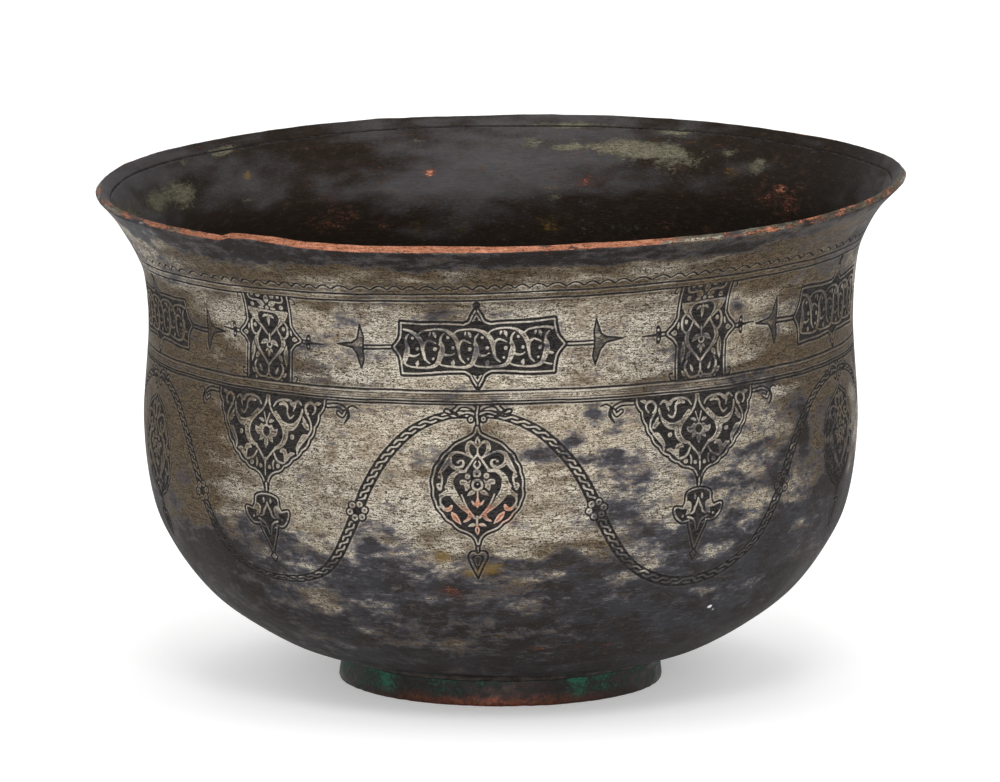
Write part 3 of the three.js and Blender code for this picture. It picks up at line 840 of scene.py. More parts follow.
# Tin, scratches and stains left inside: angle, height, half width, half height, amount
INNER_TIN = [
    (-120.4, 158.5, 8, 5, 1.0), (-112, 159, 11, 5, 0.9), (-97, 159, 14, 5, 0.8),
    (-134.4, 152, 7, 1.2, 0.45), (174.5, 166.3, 7, 1.4, 0.5), (171.6, 147.6, 2.4, 1.2, 0.4),
    (-90, 163, 9, 4, 0.5), (-124, 167, 8, 2.2, 0.7), (-134, 168.4, 10, 2, 0.85),
    (-167.3, 166.3, 3, 1, 0.5), (156.6, 165, 15, 4.4, 0.95), (150, 161, 10, 6, 0.55),
    (169.6, 164, 6, 1.8, 0.8), (163, 164.5, 8, 3, 0.6), (135.4, 164, 6, 4.5, 0.85),
    (142, 166.5, 6, 3, 0.5), (170, 171.5, 18, 1.6, 0.7), (153, 171.5, 9, 1.6, 0.9),
    (176, 164, 9, 1.6, 0.6), (-60, 140, 14, 8, 0.5), (20, 150, 16, 6, 0.6), (75, 128, 12, 9, 0.5),
    (-20, 110, 15, 7, 0.5), (110, 92, 14, 8, 0.5),
]
INNER_BROWN = [(-150, 158, 30, 12, 0.35), (163, 160, 25, 10, -0.3)]
INNER_COPPER = [
    (-168.4, 155.7, 2.4, 1.6, 0.9), (132, 153.7, 5, 2.2, 0.35), (128.5, 158, 4, 2.2, 0.45),
    (126, 153, 9, 5, 0.35), (166, 153, 3, 1.6, 0.5), (-150, 141, 9, 5, 0.35), (40, 140, 5, 4, 0.5),
    (-80, 120, 6, 4, 0.5),
]
INNER_OCHRE = [
    (-136.4, 159.8, 2.6, 1.8, 0.9), (140, 160, 5, 3, 0.5), (171.6, 150.4, 3, 1.2, 0.6),
    (176.6, 145.6, 3, 1.6, 0.5), (-173.5, 136.4, 3, 2, 0.5), (172, 137, 5, 5, 0.4),
    (-166, 137, 5, 4, 0.5), (-30, 128, 6, 5, 0.5),
]
# Below this height the outer wall is dark, by angle
DARK_LIMIT = [
    (-180, 60), (-120, 66), (-90, 66), (-68, 66), (-56, 60), (-45, 57), (-36, 54), (-22, 58), (-10, 61),
    (2, 62), (10, 61), (20, 58), (30, 60), (45, 62), (60, 69), (80, 76), (100, 68), (140, 58),
    (180, 60),
]
# Colour of the lip's edge, by angle: bare copper, and how much of it is brown
LIP_COPPER = [
    (-180, 0.1), (-120, 0.2), (-85, 0.25), (-60, 0.35), (-50, 0.5), (-44, 0.8), (-38, 1), (8, 1),
    (14, 0.75), (19, 0.9), (24, 0.3), (34, 0.1), (46, 0.1), (58, 0.2), (75, 0.3), (95, 0.2), (120, 0.1),
    (180, 0.1),
]


def make_skin():
    """How much of each finish shows, over the whole surface, painted shade and sheen among them."""
    outside = (SKIN_ARC < LIP_START)[:, None]
    inside = (SKIN_ARC > LIP_END)[:, None]
    edge = ~(outside | inside)
    height = SKIN_HEIGHT[:, None]
    angle = wrapped(SKIN_ANGLE)[None, :]
    aside = np.abs(angle)
    broad, middle, fine = clouds(60, 30, 2.4), clouds(22, 9, 1.6), clouds(6, 2.2, 1.2)
    neck = smooth(144, 156, height)
    left = smooth(-38, -60, angle) * smooth(-165, -115, angle)
    right = smooth(38, 64, angle) * smooth(165, 115, angle)
    # Where the tin is dark or gone, and painted shade under the lip and on the neck's sides
    limit = around(DARK_LIMIT, angle) + 3.0 * middle
    dark = 0.85 * (1 - smooth(-9, 11, height - limit)) + 0.05 + 0.06 * broad
    dark += 0.12 * smooth(10, 40, angle) * smooth(165, 120, angle)
    # Painted shade: the flare under the lip, which faces down, is made dark, most at the front
    dark += (0.54 + 0.16 * smooth(60, 20, aside)) * smooth(166, 169, height + 1.2 * middle)
    # Painted shade: the neck is darker at the sides
    dark += 0.2 * neck * smooth(46, 62, aside) * smooth(150, 110, aside)
    spots(dark, OUTER_DARK, outside_arc)
    spots(dark, OUTER_TIN, outside_arc, -1)
    dark = np.where(inside, 1.02 + 0.04 * broad, dark)
    spots(dark, INNER_TIN, inside_arc, -1)
    dark += (0.1 * middle + 0.11 * fine) * np.where(inside, 0.5, 1)
    dark = np.where(edge, 0.46 + 0.22 * fine, dark)
    # Brown tarnish over tin and dark alike, and painted shade that browns the sides, the neck and the inner
    # side walls
    brown = 0.25 + 0.16 * clouds(50, 26, 2.2) + 0.16 * clouds(12, 4)
    # Painted shade: the left and right sides of the outer wall are browner, less so at the neck
    brown += 0.65 * left * (1 - neck) + 0.65 * right * (1 - 0.7 * neck)
    # Painted shade: the neck is browner from -44 round the front to 140 degrees
    brown += 0.6 * neck * smooth(-64, -44, angle) * smooth(175, 140, angle) * outside
    band = smooth(BAND_BOTTOM - 2, BAND_BOTTOM + 1, height) * smooth(BAND_TOP + 5, BAND_TOP + 2, height)
    brown += 0.4 * band * outside
    spots(brown, OUTER_BROWN, outside_arc)
    spots(brown, INNER_BROWN, inside_arc)
    brown += 0.4 * smooth(50, 30, height) * outside + 0.9 * smooth(156, 136, height) * inside
    # Painted shade: the inner wall is browner to the left and right of the back
    brown += 0.6 * smooth(100, 120, aside) * smooth(174, 150, aside) * inside
    # Stains, bare copper and chips
    ochre = np.zeros_like(brown)
    chips = np.zeros_like(brown)
    copper = np.full(brown.shape, -0.05, np.float32)
    spots(ochre, OUTER_OCHRE, outside_arc)
    spots(ochre, INNER_OCHRE, inside_arc)
    spots(copper, OUTER_COPPER, outside_arc)
    spots(copper, INNER_COPPER, inside_arc)
    spots(chips, OUTER_CHIPS, outside_arc)
    copper = np.where(edge, around(LIP_COPPER, angle) + 0.06 + 0.24 * clouds(7, 1.6, 1.0), copper)
    # Fine streaks, and the hammer marks in millimetres
    streak = clouds(16, 0.9, 0.6)
    dents = clouds(60, 42, 4) * 0.16 + clouds(16, 13, 4) * 0.05 * smooth(75, 50, height)
    dark += 0.06 * clouds(2.6, 1.4, 1.0) * outside
    # The bottom inside has been scoured, so more of the tin shows through
    scoured = smooth(40, 12, height) * inside
    dark -= 0.42 * scoured
    brown -= 0.5 * scoured
    # The rows shrink to a point under the middle, so every angle is alike there
    apart = smooth(8, 30, SKIN_RADIUS)[:, None]
    dark, brown = (field * apart + field.mean(1, keepdims=True) * (1 - apart) for field in (dark, brown))
    return dark, brown, ochre, copper, chips, streak, dents


# The bowl as one dense closed mesh

# Where each stretch of the way starts, the step between rings and the points in a ring
STRETCHES = [
    (2.0, 3.0, 320), (outside_arc(20), 0.7, 1280), (outside_arc(47), 0.3, 2560),
    (outside_arc(163), 0.5, 1280), (LIP_START - 0.8, 0.28, 1280), (LIP_END + 0.8, 0.35, 1280),
    (LIP_END + 11, 1.2, 640), (inside_arc(11.2), 3.0, 320),
]
# The unwrapped skin in a square of so many dots: from and to on the way, lowest and highest row,
# and how many strips lie above each other
SHEET_SIZE = 1024
SHEET_MARGIN = 5
SHEET = [
    (0.0, outside_arc(20), 4, 58, 1), (outside_arc(20), outside_arc(47), 64, 108, 1),
    (outside_arc(47), outside_arc(163), 114, 704, 2), (outside_arc(163), LIP_END + 11, 710, 760, 1),
    (LIP_END + 11, ARC_END, 766, 1020, 1),
]


def rings():
    """Way and number of points of every ring."""
    ways, counts = [], []
    starts = [s[0] for s in STRETCHES] + [ARC_END - 2.0]
    for (start, step, count), end in zip(STRETCHES, starts[1:]):
        number = math.ceil((end - start) / step)
        if counts and (counts[-1] == 4 * count or 4 * counts[-1] == count):
            ways.append(start - step / 2)
            counts.append(2 * min(counts[-1], count))
        ways.extend(np.linspace(start, end, number, endpoint=False))
        counts.extend([count] * number)
    return np.array(ways), np.array(counts)


def join_rings(low_first, low_count, high_first, high_count):
    """Faces between two rings, as rows of point numbers, with the turn of each corner as a part of 1."""
    i = np.arange(min(low_count, high_count))
    if low_count == high_count:
        after = (i + 1) % low_count
        turn = np.stack([i, i + 1, i + 1, i], 1) / low_count
        faces = np.stack([low_first + i, low_first + after, high_first + after, high_first + i], 1)
        return [(faces, turn)]
    few, many = (low_first, high_first) if low_count < high_count else (high_first, low_first)
    n = len(i)
    single = [few + i, few + (i + 1) % n]
    double = [many + 2 * i, many + 2 * i + 1, many + (2 * i + 2) % (2 * n)]
    parts = [
        ([single[0], double[1], double[0]], [i, i + 0.5, i]),
        ([single[0], single[1], double[1]], [i, i + 1, i + 0.5]),
        ([single[1], double[2], double[1]], [i + 1, i + 1, i + 0.5]),
    ]
    out = []
    for corners, turn in parts:
        faces, turn = np.stack(corners, 1), np.stack(turn, 1) / n
        if low_count > high_count:
            faces, turn = faces[:, ::-1], turn[:, ::-1]
        out.append((faces, turn))
    return out


def spread(field, rows, count):
    """A raster's values at rings of some rows, at that many angles."""
    low = np.clip(rows.astype(int), 0, SKIN_ROWS - 2)
    part = (rows - low)[:, None]
    step = SKIN_COLUMNS // count
    return field[low, ::step] * (1 - part) + field[low + 1, ::step] * part


def blurred(field, reach):
    """Mean over the neighbours round the bowl and up and down."""
    width = 2 * reach + 1
    across = sum(np.roll(field, k, 1) for k in range(-reach, reach + 1)) / width
    padded = np.pad(across, ((reach, reach), (0, 0)), mode="edge")
    return sum(padded[k:k + len(field)] for k in range(width)) / width


def build_bowl():
    ways, counts = rings()
    dark, brown, ochre, copper, chips, streak, dents = make_skin()
    firsts = np.concatenate([[0], np.cumsum(counts)])
    total = firsts[-1]
    places = np.empty((total + 2, 3), np.float32)
    finish = np.zeros((total + 2, 4), np.float32)
    marks = np.zeros((total + 2, 4), np.float32)
    normals = np.gradient(POINTS, axis=0)
    normals /= np.hypot(*normals.T)[:, None]
    normals = np.stack([normals[:, 1], -normals[:, 0]], 1)
    edge_way = POINTS[np.searchsorted(ARC, LIP_END)] - POINTS[np.searchsorted(ARC, LIP_START)]
    edge_way /= np.hypot(*edge_way)
    edge_middle = (LIP_START + LIP_END) / 2
    breaks = np.flatnonzero(np.diff(counts)) + 1
    for group in np.split(np.arange(len(ways)), breaks):
        way, count = ways[group], counts[group[0]]
        rows = way / ROW_SIZE
        angles = np.arange(count) * 360 / count
        turn = np.radians(angles)[None, :]
        r, z, nr, nz = (np.interp(way, ARC, column)[:, None] for column in (*POINTS.T, *normals.T))
        outer = way < LIP_START
        ink = np.zeros((len(way), count), np.float32)
        if count == SKIN_COLUMNS:
            ink = engraving(angles, z[:, 0])
        gap = way[:, None] - (LIP_END + INNER_LINE) - 0.2 * np.sin(7 * turn)
        ink = np.maximum(ink, cut_line(gap, 0.6))
        burr = np.clip(blurred(ink, 2) - ink, 0, 1) * 2
        # Hammer marks, which both sides of the wall share, and the pitted edge of the lip
        mirrored = np.where(outer, way, np.clip(ARC_END - way, 0, LIP_START))
        bulge = spread(dents, mirrored / ROW_SIZE, count) * np.where(outer, 1, -1)[:, None]
        bulge *= smooth(58, 75, r) * np.where((way > LIP_START) & (way < LIP_END), 0, 1)[:, None]
        ragged = spread(streak, rows, count) * 0.1 * smooth(4, 0.5, np.abs(way - edge_middle))[:, None]
        out = bulge + ragged - CUT_DEPTH * smooth(0.1, 0.95, ink) + BURR_HEIGHT * burr
        # The lip is beaten thicker in places, and raised or dented
        front = wrapped(angles)
        part = np.clip((way - LIP_START) / (LIP_END - LIP_START), 0, 1) * smooth(LIP_END + 9, LIP_END, way)
        swell = around(LIP_SWELL, front) * part[:, None]
        radius = r + nr * out + edge_way[0] * swell
        height = z + nz * out + edge_way[1] * swell
        x, y = radius * np.sin(turn), -radius * np.cos(turn)
        raised = around(RIM_LIFT, np.where(front < -90, front + 360, front))
        height = height + lean(height) * x + raised * smooth(156, RIM_HEIGHT, height)
        span = slice(firsts[group[0]], firsts[group[-1] + 1])
        places[span] = np.stack([x.ravel(), y.ravel(), height.ravel()], 1) * MM
        # The finish channels carry the painted shade and sheen of make_skin along with tarnish and wear
        finish[span] = np.stack([spread(f, rows, count).ravel() for f in (dark, brown, copper, ochre)], 1)
        # Grime gathers in and beside the cuts
        grime = blurred(ink, 6).ravel()
        finish[span, 0] += 0.3 * grime
        finish[span, 1] += 0.45 * grime
        inner = np.broadcast_to((way > edge_middle)[:, None], x.shape)
        chipped = spread(chips, rows, count)
        marks[span] = np.stack([values.ravel() for values in (ink, chipped, inner, burr)], 1)
    # A single point closes each end, under the middle and inside it
    ends = ((0, 0), (1, len(ways) - 1))
    for end, ring in ends:
        span = slice(firsts[ring], firsts[ring + 1])
        for field in (places, finish, marks):
            field[total + end] = field[span].mean(0)
    quads, threes = [], []
    for k in range(len(ways) - 1):
        for faces, turn in join_rings(firsts[k], counts[k], firsts[k + 1], counts[k + 1]):
            up = np.where(faces >= firsts[k + 1], ways[k + 1], ways[k])
            (quads if faces.shape[1] == 4 else threes).append((faces, turn, up))
    for end, ring in ends:
        i = np.arange(counts[ring])
        here, there = firsts[ring] + i, firsts[ring] + (i + 1) % counts[ring]
        centre = np.full(counts[ring], total + end)
        order = (centre, there, here) if end == 0 else (here, there, centre)
        turns = (i + 0.5, i + 1, i) if end == 0 else (i, i + 1, i + 0.5)
        way = np.full((counts[ring], 3), ways[ring])
        threes.append((np.stack(order, 1), np.stack(turns, 1) / counts[ring], way))
    obj = mesh_object("bowl_body", places, quads, threes)
    carry(obj, "finish", finish)
    carry(obj, "marks", marks)
    return obj


def sheet_places(turn, way):
    """Places in the unwrapped square of corners of faces, which are rows of turns and ways."""
    middle, part = way.mean(1), turn.mean(1)
    u, v = np.empty_like(turn), np.empty_like(turn)
    for start, end, low, high, strips in SHEET:
        chosen = (middle >= start) & (middle <= end)
        strip = np.minimum((part[chosen] * strips).astype(int), strips - 1)[:, None]
        tall = (high - low) / strips
        u[chosen] = SHEET_MARGIN + (turn[chosen] * strips - strip) * (SHEET_SIZE - 2 * SHEET_MARGIN)
        part_way = (way[chosen] - start) / (end - start)
        v[chosen] = low + strip * tall + part_way * (tall - SHEET_MARGIN)
    return np.stack([u, v], -1) / SHEET_SIZE


def put_in_scene(name, data):
    """A new object in the scene that holds a mesh, a lamp or a camera."""
    obj = bpy.data.objects.new(name, data)
    bpy.context.scene.collection.objects.link(obj)
    return obj


def mesh_object(name, places, quads, threes):
    """A smooth mesh of the given faces, with its unwrapped skin as a map for baking."""
    corners, sizes, maps = [], [], []
    for faces, turn, way in quads + threes:
        corners.append(faces.ravel())
        sizes.append(np.full(len(faces), faces.shape[1]))
        maps.append(sheet_places(turn, way).reshape(-1, 2))
    corners, sizes, maps = np.concatenate(corners), np.concatenate(sizes), np.concatenate(maps)
    starts = np.concatenate([[0], np.cumsum(sizes)[:-1]])
    mesh = bpy.data.meshes.new(name)
    mesh.vertices.add(len(places))
    mesh.vertices.foreach_set("co", places.astype(np.float32).ravel())
    mesh.loops.add(len(corners))
    mesh.loops.foreach_set("vertex_index", corners.astype(np.int32))
    mesh.polygons.add(len(sizes))
    mesh.polygons.foreach_set("loop_start", starts.astype(np.int32))
    mesh.polygons.foreach_set("loop_total", sizes.astype(np.int32))
    mesh.polygons.foreach_set("use_smooth", np.ones(len(sizes), bool))
    mesh.update(calc_edges=True)
    layer = mesh.uv_layers.new(name="OFBake")
    layer.data.foreach_set("uv", maps.astype(np.float32).ravel())
    mesh.validate()
    return put_in_scene(name, mesh)


def carry(obj, name, shares):
    """Gives each point of a mesh four numbers of its own for its material."""
    attribute = obj.data.attributes.new(name, "FLOAT_COLOR", "POINT")
    attribute.data.foreach_set("color", shares.astype(np.float32).ravel())


# Foot hoop and the two beads of solder, swept round the axis

FOOT_COLUMNS = 720
FOOT_TOP_RADIUS = 54.9
FOOT_BOTTOM_RADIUS = 55.9
FOOT_THICKNESS = 2.3
FOOT_ROUNDING = 0.8
FOOT_GAP = 0.3
SEAM_PLACE = 54.75
SEAM_HALF_SLOT = 0.85
SEAM_SLANT = math.radians(35)
BEAD_REACH = 2.0
BEAD_OUTER_FACE = 55.35
BEAD_INNER_FACE = 52.15
BEAD_DROP = 1.5


def sweep(name, profile, starts, ends, shape):
    """A closed solid from a closed section swept round, or a ring where it has no ends.

    The section runs with the metal on its left. Shape moves the points, given as radius, angle and height.
    """
    closed = starts is None
    profile = np.array(profile, float)
    number = len(profile)
    columns = FOOT_COLUMNS if closed else FOOT_COLUMNS + 1
    part = np.arange(columns)[:, None] / FOOT_COLUMNS
    if closed:
        starts, ends = np.zeros(number), np.full(number, 2 * math.pi)
    turn = starts + (ends - starts) * part
    radius = np.broadcast_to(profile[:, 0], turn.shape)
    height = np.broadcast_to(profile[:, 1], turn.shape)
    radius, height = shape(radius, turn, height)
    places = np.stack([radius * np.sin(turn), -radius * np.cos(turn), height], -1).reshape(-1, 3) * MM
    i, j = np.meshgrid(np.arange(FOOT_COLUMNS), np.arange(number), indexing="ij")
    i, j = i.ravel(), j.ravel()
    here, after, beside = i * number, (i + 1) % columns * number, (j + 1) % number
    polygons = np.stack([here + j, after + j, after + beside, here + beside], 1).tolist()
    if not closed:
        last = FOOT_COLUMNS * number
        polygons += [list(range(number)), [last + k for k in range(number)][::-1]]
    mesh = bpy.data.meshes.new(name)
    mesh.from_pydata(places.tolist(), [], polygons)
    mesh.validate()
    mesh.shade_smooth()
    return put_in_scene(name, mesh)


def underside(radius):
    """Height of the bowl's underside."""
    low = ARC < outside_arc(30)
    return np.interp(radius, POINTS[low, 0], POINTS[low, 1])


def slot_angle(radius, side):
    """Angle of the slanted end of the hoop's strip at a radius, on either side of the seam at the back."""
    reach = side * SEAM_HALF_SLOT + SEAM_PLACE * math.sin(SEAM_SLANT)
    return math.pi - (np.arcsin(reach / radius) - SEAM_SLANT)


def hoop_section():
    """Round the lower edge, up the outer face, back over the top and down the inner face."""
    inner, soft = FOOT_BOTTOM_RADIUS - FOOT_THICKNESS, FOOT_ROUNDING
    top_inner, narrowing = FOOT_TOP_RADIUS - FOOT_THICKNESS, FOOT_BOTTOM_RADIUS - FOOT_TOP_RADIUS
    high_outer, high_inner = underside(FOOT_TOP_RADIUS) - FOOT_GAP, underside(top_inner) - FOOT_GAP
    corner = np.radians(np.arange(0, 91, 15))
    points = [(inner + soft - soft * math.sin(a), soft - soft * math.cos(a)) for a in corner[::-1]]
    points += [(FOOT_BOTTOM_RADIUS - soft + soft * math.sin(a), soft - soft * math.cos(a)) for a in corner]
    for t in np.linspace(0.08, 0.97, 14):
        points.append((FOOT_BOTTOM_RADIUS - narrowing * t, soft + (high_outer - soft) * t))
    points += [(FOOT_TOP_RADIUS - 0.2, high_outer), (top_inner + 0.2, high_inner)]
    for t in np.linspace(0.04, 0.92, 10):
        points.append((top_inner + narrowing * t, high_inner + (soft - high_inner) * t))
    return np.array(points, float)


def build_hoop():
    def shape(radius, turn, height):
        wave = 0.16 * np.sin(3 * turn + 1.0) + 0.12 * np.sin(7 * turn) + 0.07 * np.sin(19 * turn + 2)
        wave += 0.04 * np.sin(43 * turn + height) + 0.03 * np.sin(71 * turn - 2 * height)
        nick = 0.12 * np.sin(11 * turn) * np.sin(5 * turn + 1) + 0.05 * np.sin(57 * turn)
        return radius + wave * smooth(9, 2, height), height + np.maximum(nick, 0) * smooth(2.5, 0.3, height)

    profile = hoop_section()
    starts, ends = slot_angle(profile[:, 0], -1), slot_angle(profile[:, 0], 1) + 2 * math.pi
    return sweep("foot_hoop", profile, starts, ends, shape)


# Verdigris on the foot: angle, half width, amount
CRUST = [
    (-45, 5, 0.6), (-58, 9, 0.35), (-22, 9, 0.25), (0, 14, 0.1), (28, 4, 0.55), (40, 10, 0.35),
    (60, 10, 0.3), (84, 9, 0.5), (124, 10, 0.7), (163, 9, 0.5), (205, 10, 0.7), (243, 10, 0.6),
    (281, 10, 0.4),
]


def add_crust(obj):
    """Gives the hoop its verdigris, which gathers under the bowl, and red rust, which is at the front."""
    places = np.empty(len(obj.data.vertices) * 3, np.float32)
    obj.data.vertices.foreach_get("co", places)
    x, y, height = places.reshape(-1, 3).T / MM
    angle = np.degrees(np.arctan2(x, -y))
    crust = 0.12 + 0.3 * smooth(6, 10.5, height)
    for place, wide, amount in CRUST:
        across = np.radians(wrapped(angle - place)) * 56 / wide
        crust += amount * np.exp(-(across**2))
    rust = 0.45 + 0.55 * np.cos(np.radians(2.6 * np.clip(np.abs(wrapped(angle + 5)), 0, 69)))
    carry(obj, "crust", np.stack([crust, rust, np.zeros_like(rust), np.ones_like(rust)], 1))


def build_bead(name, side):
    """Run solder in the corner between the hoop and the bowl, outside it or inside it."""
    face = BEAD_OUTER_FACE if side > 0 else BEAD_INNER_FACE
    reach = BEAD_REACH * side
    across = np.linspace(0, 1, 7)
    hollow, top = [], []
    for t in across:
        radius = face + reach * t
        hollow.append((radius, underside(radius) - 0.34 - BEAD_DROP * (1 - t) ** 1.8))
    for t in across[::-1]:
        radius = face + reach * (0.02 + 0.96 * t)
        top.append((radius, underside(radius) - 0.26))
    profile = hollow + top if side > 0 else (hollow + top)[::-1]

    def shape(radius, turn, height):
        part = np.clip((radius - face) / reach, 0, 1)
        lump = 0.6 + 0.5 * np.sin(5 * turn + side) * np.sin(3 * turn)
        lump = lump + 0.25 * np.sin(23 * turn) + 0.2 * np.sin(61 * turn)
        thick = underside(radius) - FOOT_GAP - height
        sink = np.where(thick > 0.05, 0.28 * np.clip(lump, -0.6, 1.2) * (1 - part), 0)
        return radius + side * 0.12 * lump * part, height - sink

    return sweep(name, profile, None, None, shape)


# Finishes


def tone(red, green, blue):
    """A colour as a screen shows it, from 0 to 255."""
    part = np.array([red, green, blue]) / 255
    linear = np.where(part < 0.04045, part / 12.92, ((part + 0.055) / 1.055) ** 2.4)
    return (*linear, 1)


class Finish:
    """A node material in the making."""

    def __init__(self, name):
        self.material = bpy.data.materials.new(name)
        self.material.use_nodes = True
        self.tree = self.material.node_tree
        self.shader = self.tree.nodes["Principled BSDF"]
        self.place = self.tree.nodes.new("ShaderNodeTexCoord").outputs["Object"]

    def put(self, socket, value):
        if isinstance(value, bpy.types.NodeSocket):
            self.tree.links.new(value, socket)
        else:
            socket.default_value = value

    def math(self, operation, *values):
        node = self.tree.nodes.new("ShaderNodeMath")
        node.operation = operation
        for socket, value in zip(node.inputs, values):
            self.put(socket, value)
        return node.outputs[0]

    def times(self, first, second):
        return self.math("MULTIPLY", first, second)

    def plus(self, first, second, part=1.0):
        """The first with a part of the second added."""
        return self.math("MULTIPLY_ADD", second, part, first)

    def weigh(self, *parts):
        """Sum of outputs, each times its own weight."""
        total = 0.0
        for output, weight in parts:
            total = self.plus(total, output, weight)
        return total

    def step(self, value, low, high, start=0.0, end=1.0):
        """Goes smoothly from start to end while the value goes from low to high."""
        node = self.tree.nodes.new("ShaderNodeMapRange")
        node.interpolation_type = "SMOOTHSTEP"
        for socket, number in zip(node.inputs, (value, low, high, start, end)):
            self.put(socket, number)
        return node.outputs[0]

    def mix(self, amount, first, second):
        node = self.tree.nodes.new("ShaderNodeMix")
        node.data_type = "RGBA"
        self.put(node.inputs[0], amount)
        self.put(node.inputs[6], first)
        self.put(node.inputs[7], second)
        return node.outputs[2]

    def blend(self, amount, first, second):
        node = self.tree.nodes.new("ShaderNodeMix")
        for socket, value in zip((node.inputs[0], node.inputs[2], node.inputs[3]), (amount, first, second)):
            self.put(socket, value)
        return node.outputs[0]

    def shade(self, value, low, high, first, second):
        """From the first tone to the second while the value goes from low to high."""
        return self.mix(self.step(value, low, high), tone(*first), tone(*second))

    def layers(self, colour, *rows):
        """Lays tones over a colour. A row says what a tone follows, from where to where, and its most."""
        for value, low, high, most, over in rows:
            colour = self.mix(self.step(value, low, high, 0.0, most), colour, tone(*over))
        return colour

    def noise(self, size, detail=3.0, flat=1.0, rough=0.55, shift=0.0):
        """Noise with lumps of this size in millimetres, pressed flat by a factor."""
        mapping = self.tree.nodes.new("ShaderNodeMapping")
        self.put(mapping.inputs["Vector"], self.place)
        mapping.inputs["Scale"].default_value = (1, 1, flat)
        mapping.inputs["Location"].default_value = (shift, shift, shift)
        node = self.tree.nodes.new("ShaderNodeTexNoise")
        self.put(node.inputs["Vector"], mapping.outputs[0])
        for name, value in (("Scale", 1 / (size * MM)), ("Detail", detail), ("Roughness", rough)):
            node.inputs[name].default_value = value
        return node.outputs[0]

    def attribute(self, name):
        """The four numbers that the mesh carries under this name."""
        node = self.tree.nodes.new("ShaderNodeAttribute")
        node.attribute_name = name
        split = self.tree.nodes.new("ShaderNodeSeparateColor")
        self.put(split.inputs[0], node.outputs["Color"])
        return [*split.outputs, node.outputs["Alpha"]]

    def finish(self, colour, metallic, roughness, relief, depth):
        """Joins all to the shader. The relief's depth is in millimetres."""
        bump = self.tree.nodes.new("ShaderNodeBump")
        bump.inputs["Distance"].default_value = depth * MM
        self.put(bump.inputs["Height"], relief)
        for name, value in (("Base Color", colour), ("Metallic", metallic), ("Roughness", roughness),
                            ("Normal", bump.outputs[0])):
            self.put(self.shader.inputs[name], value)
        return self.material


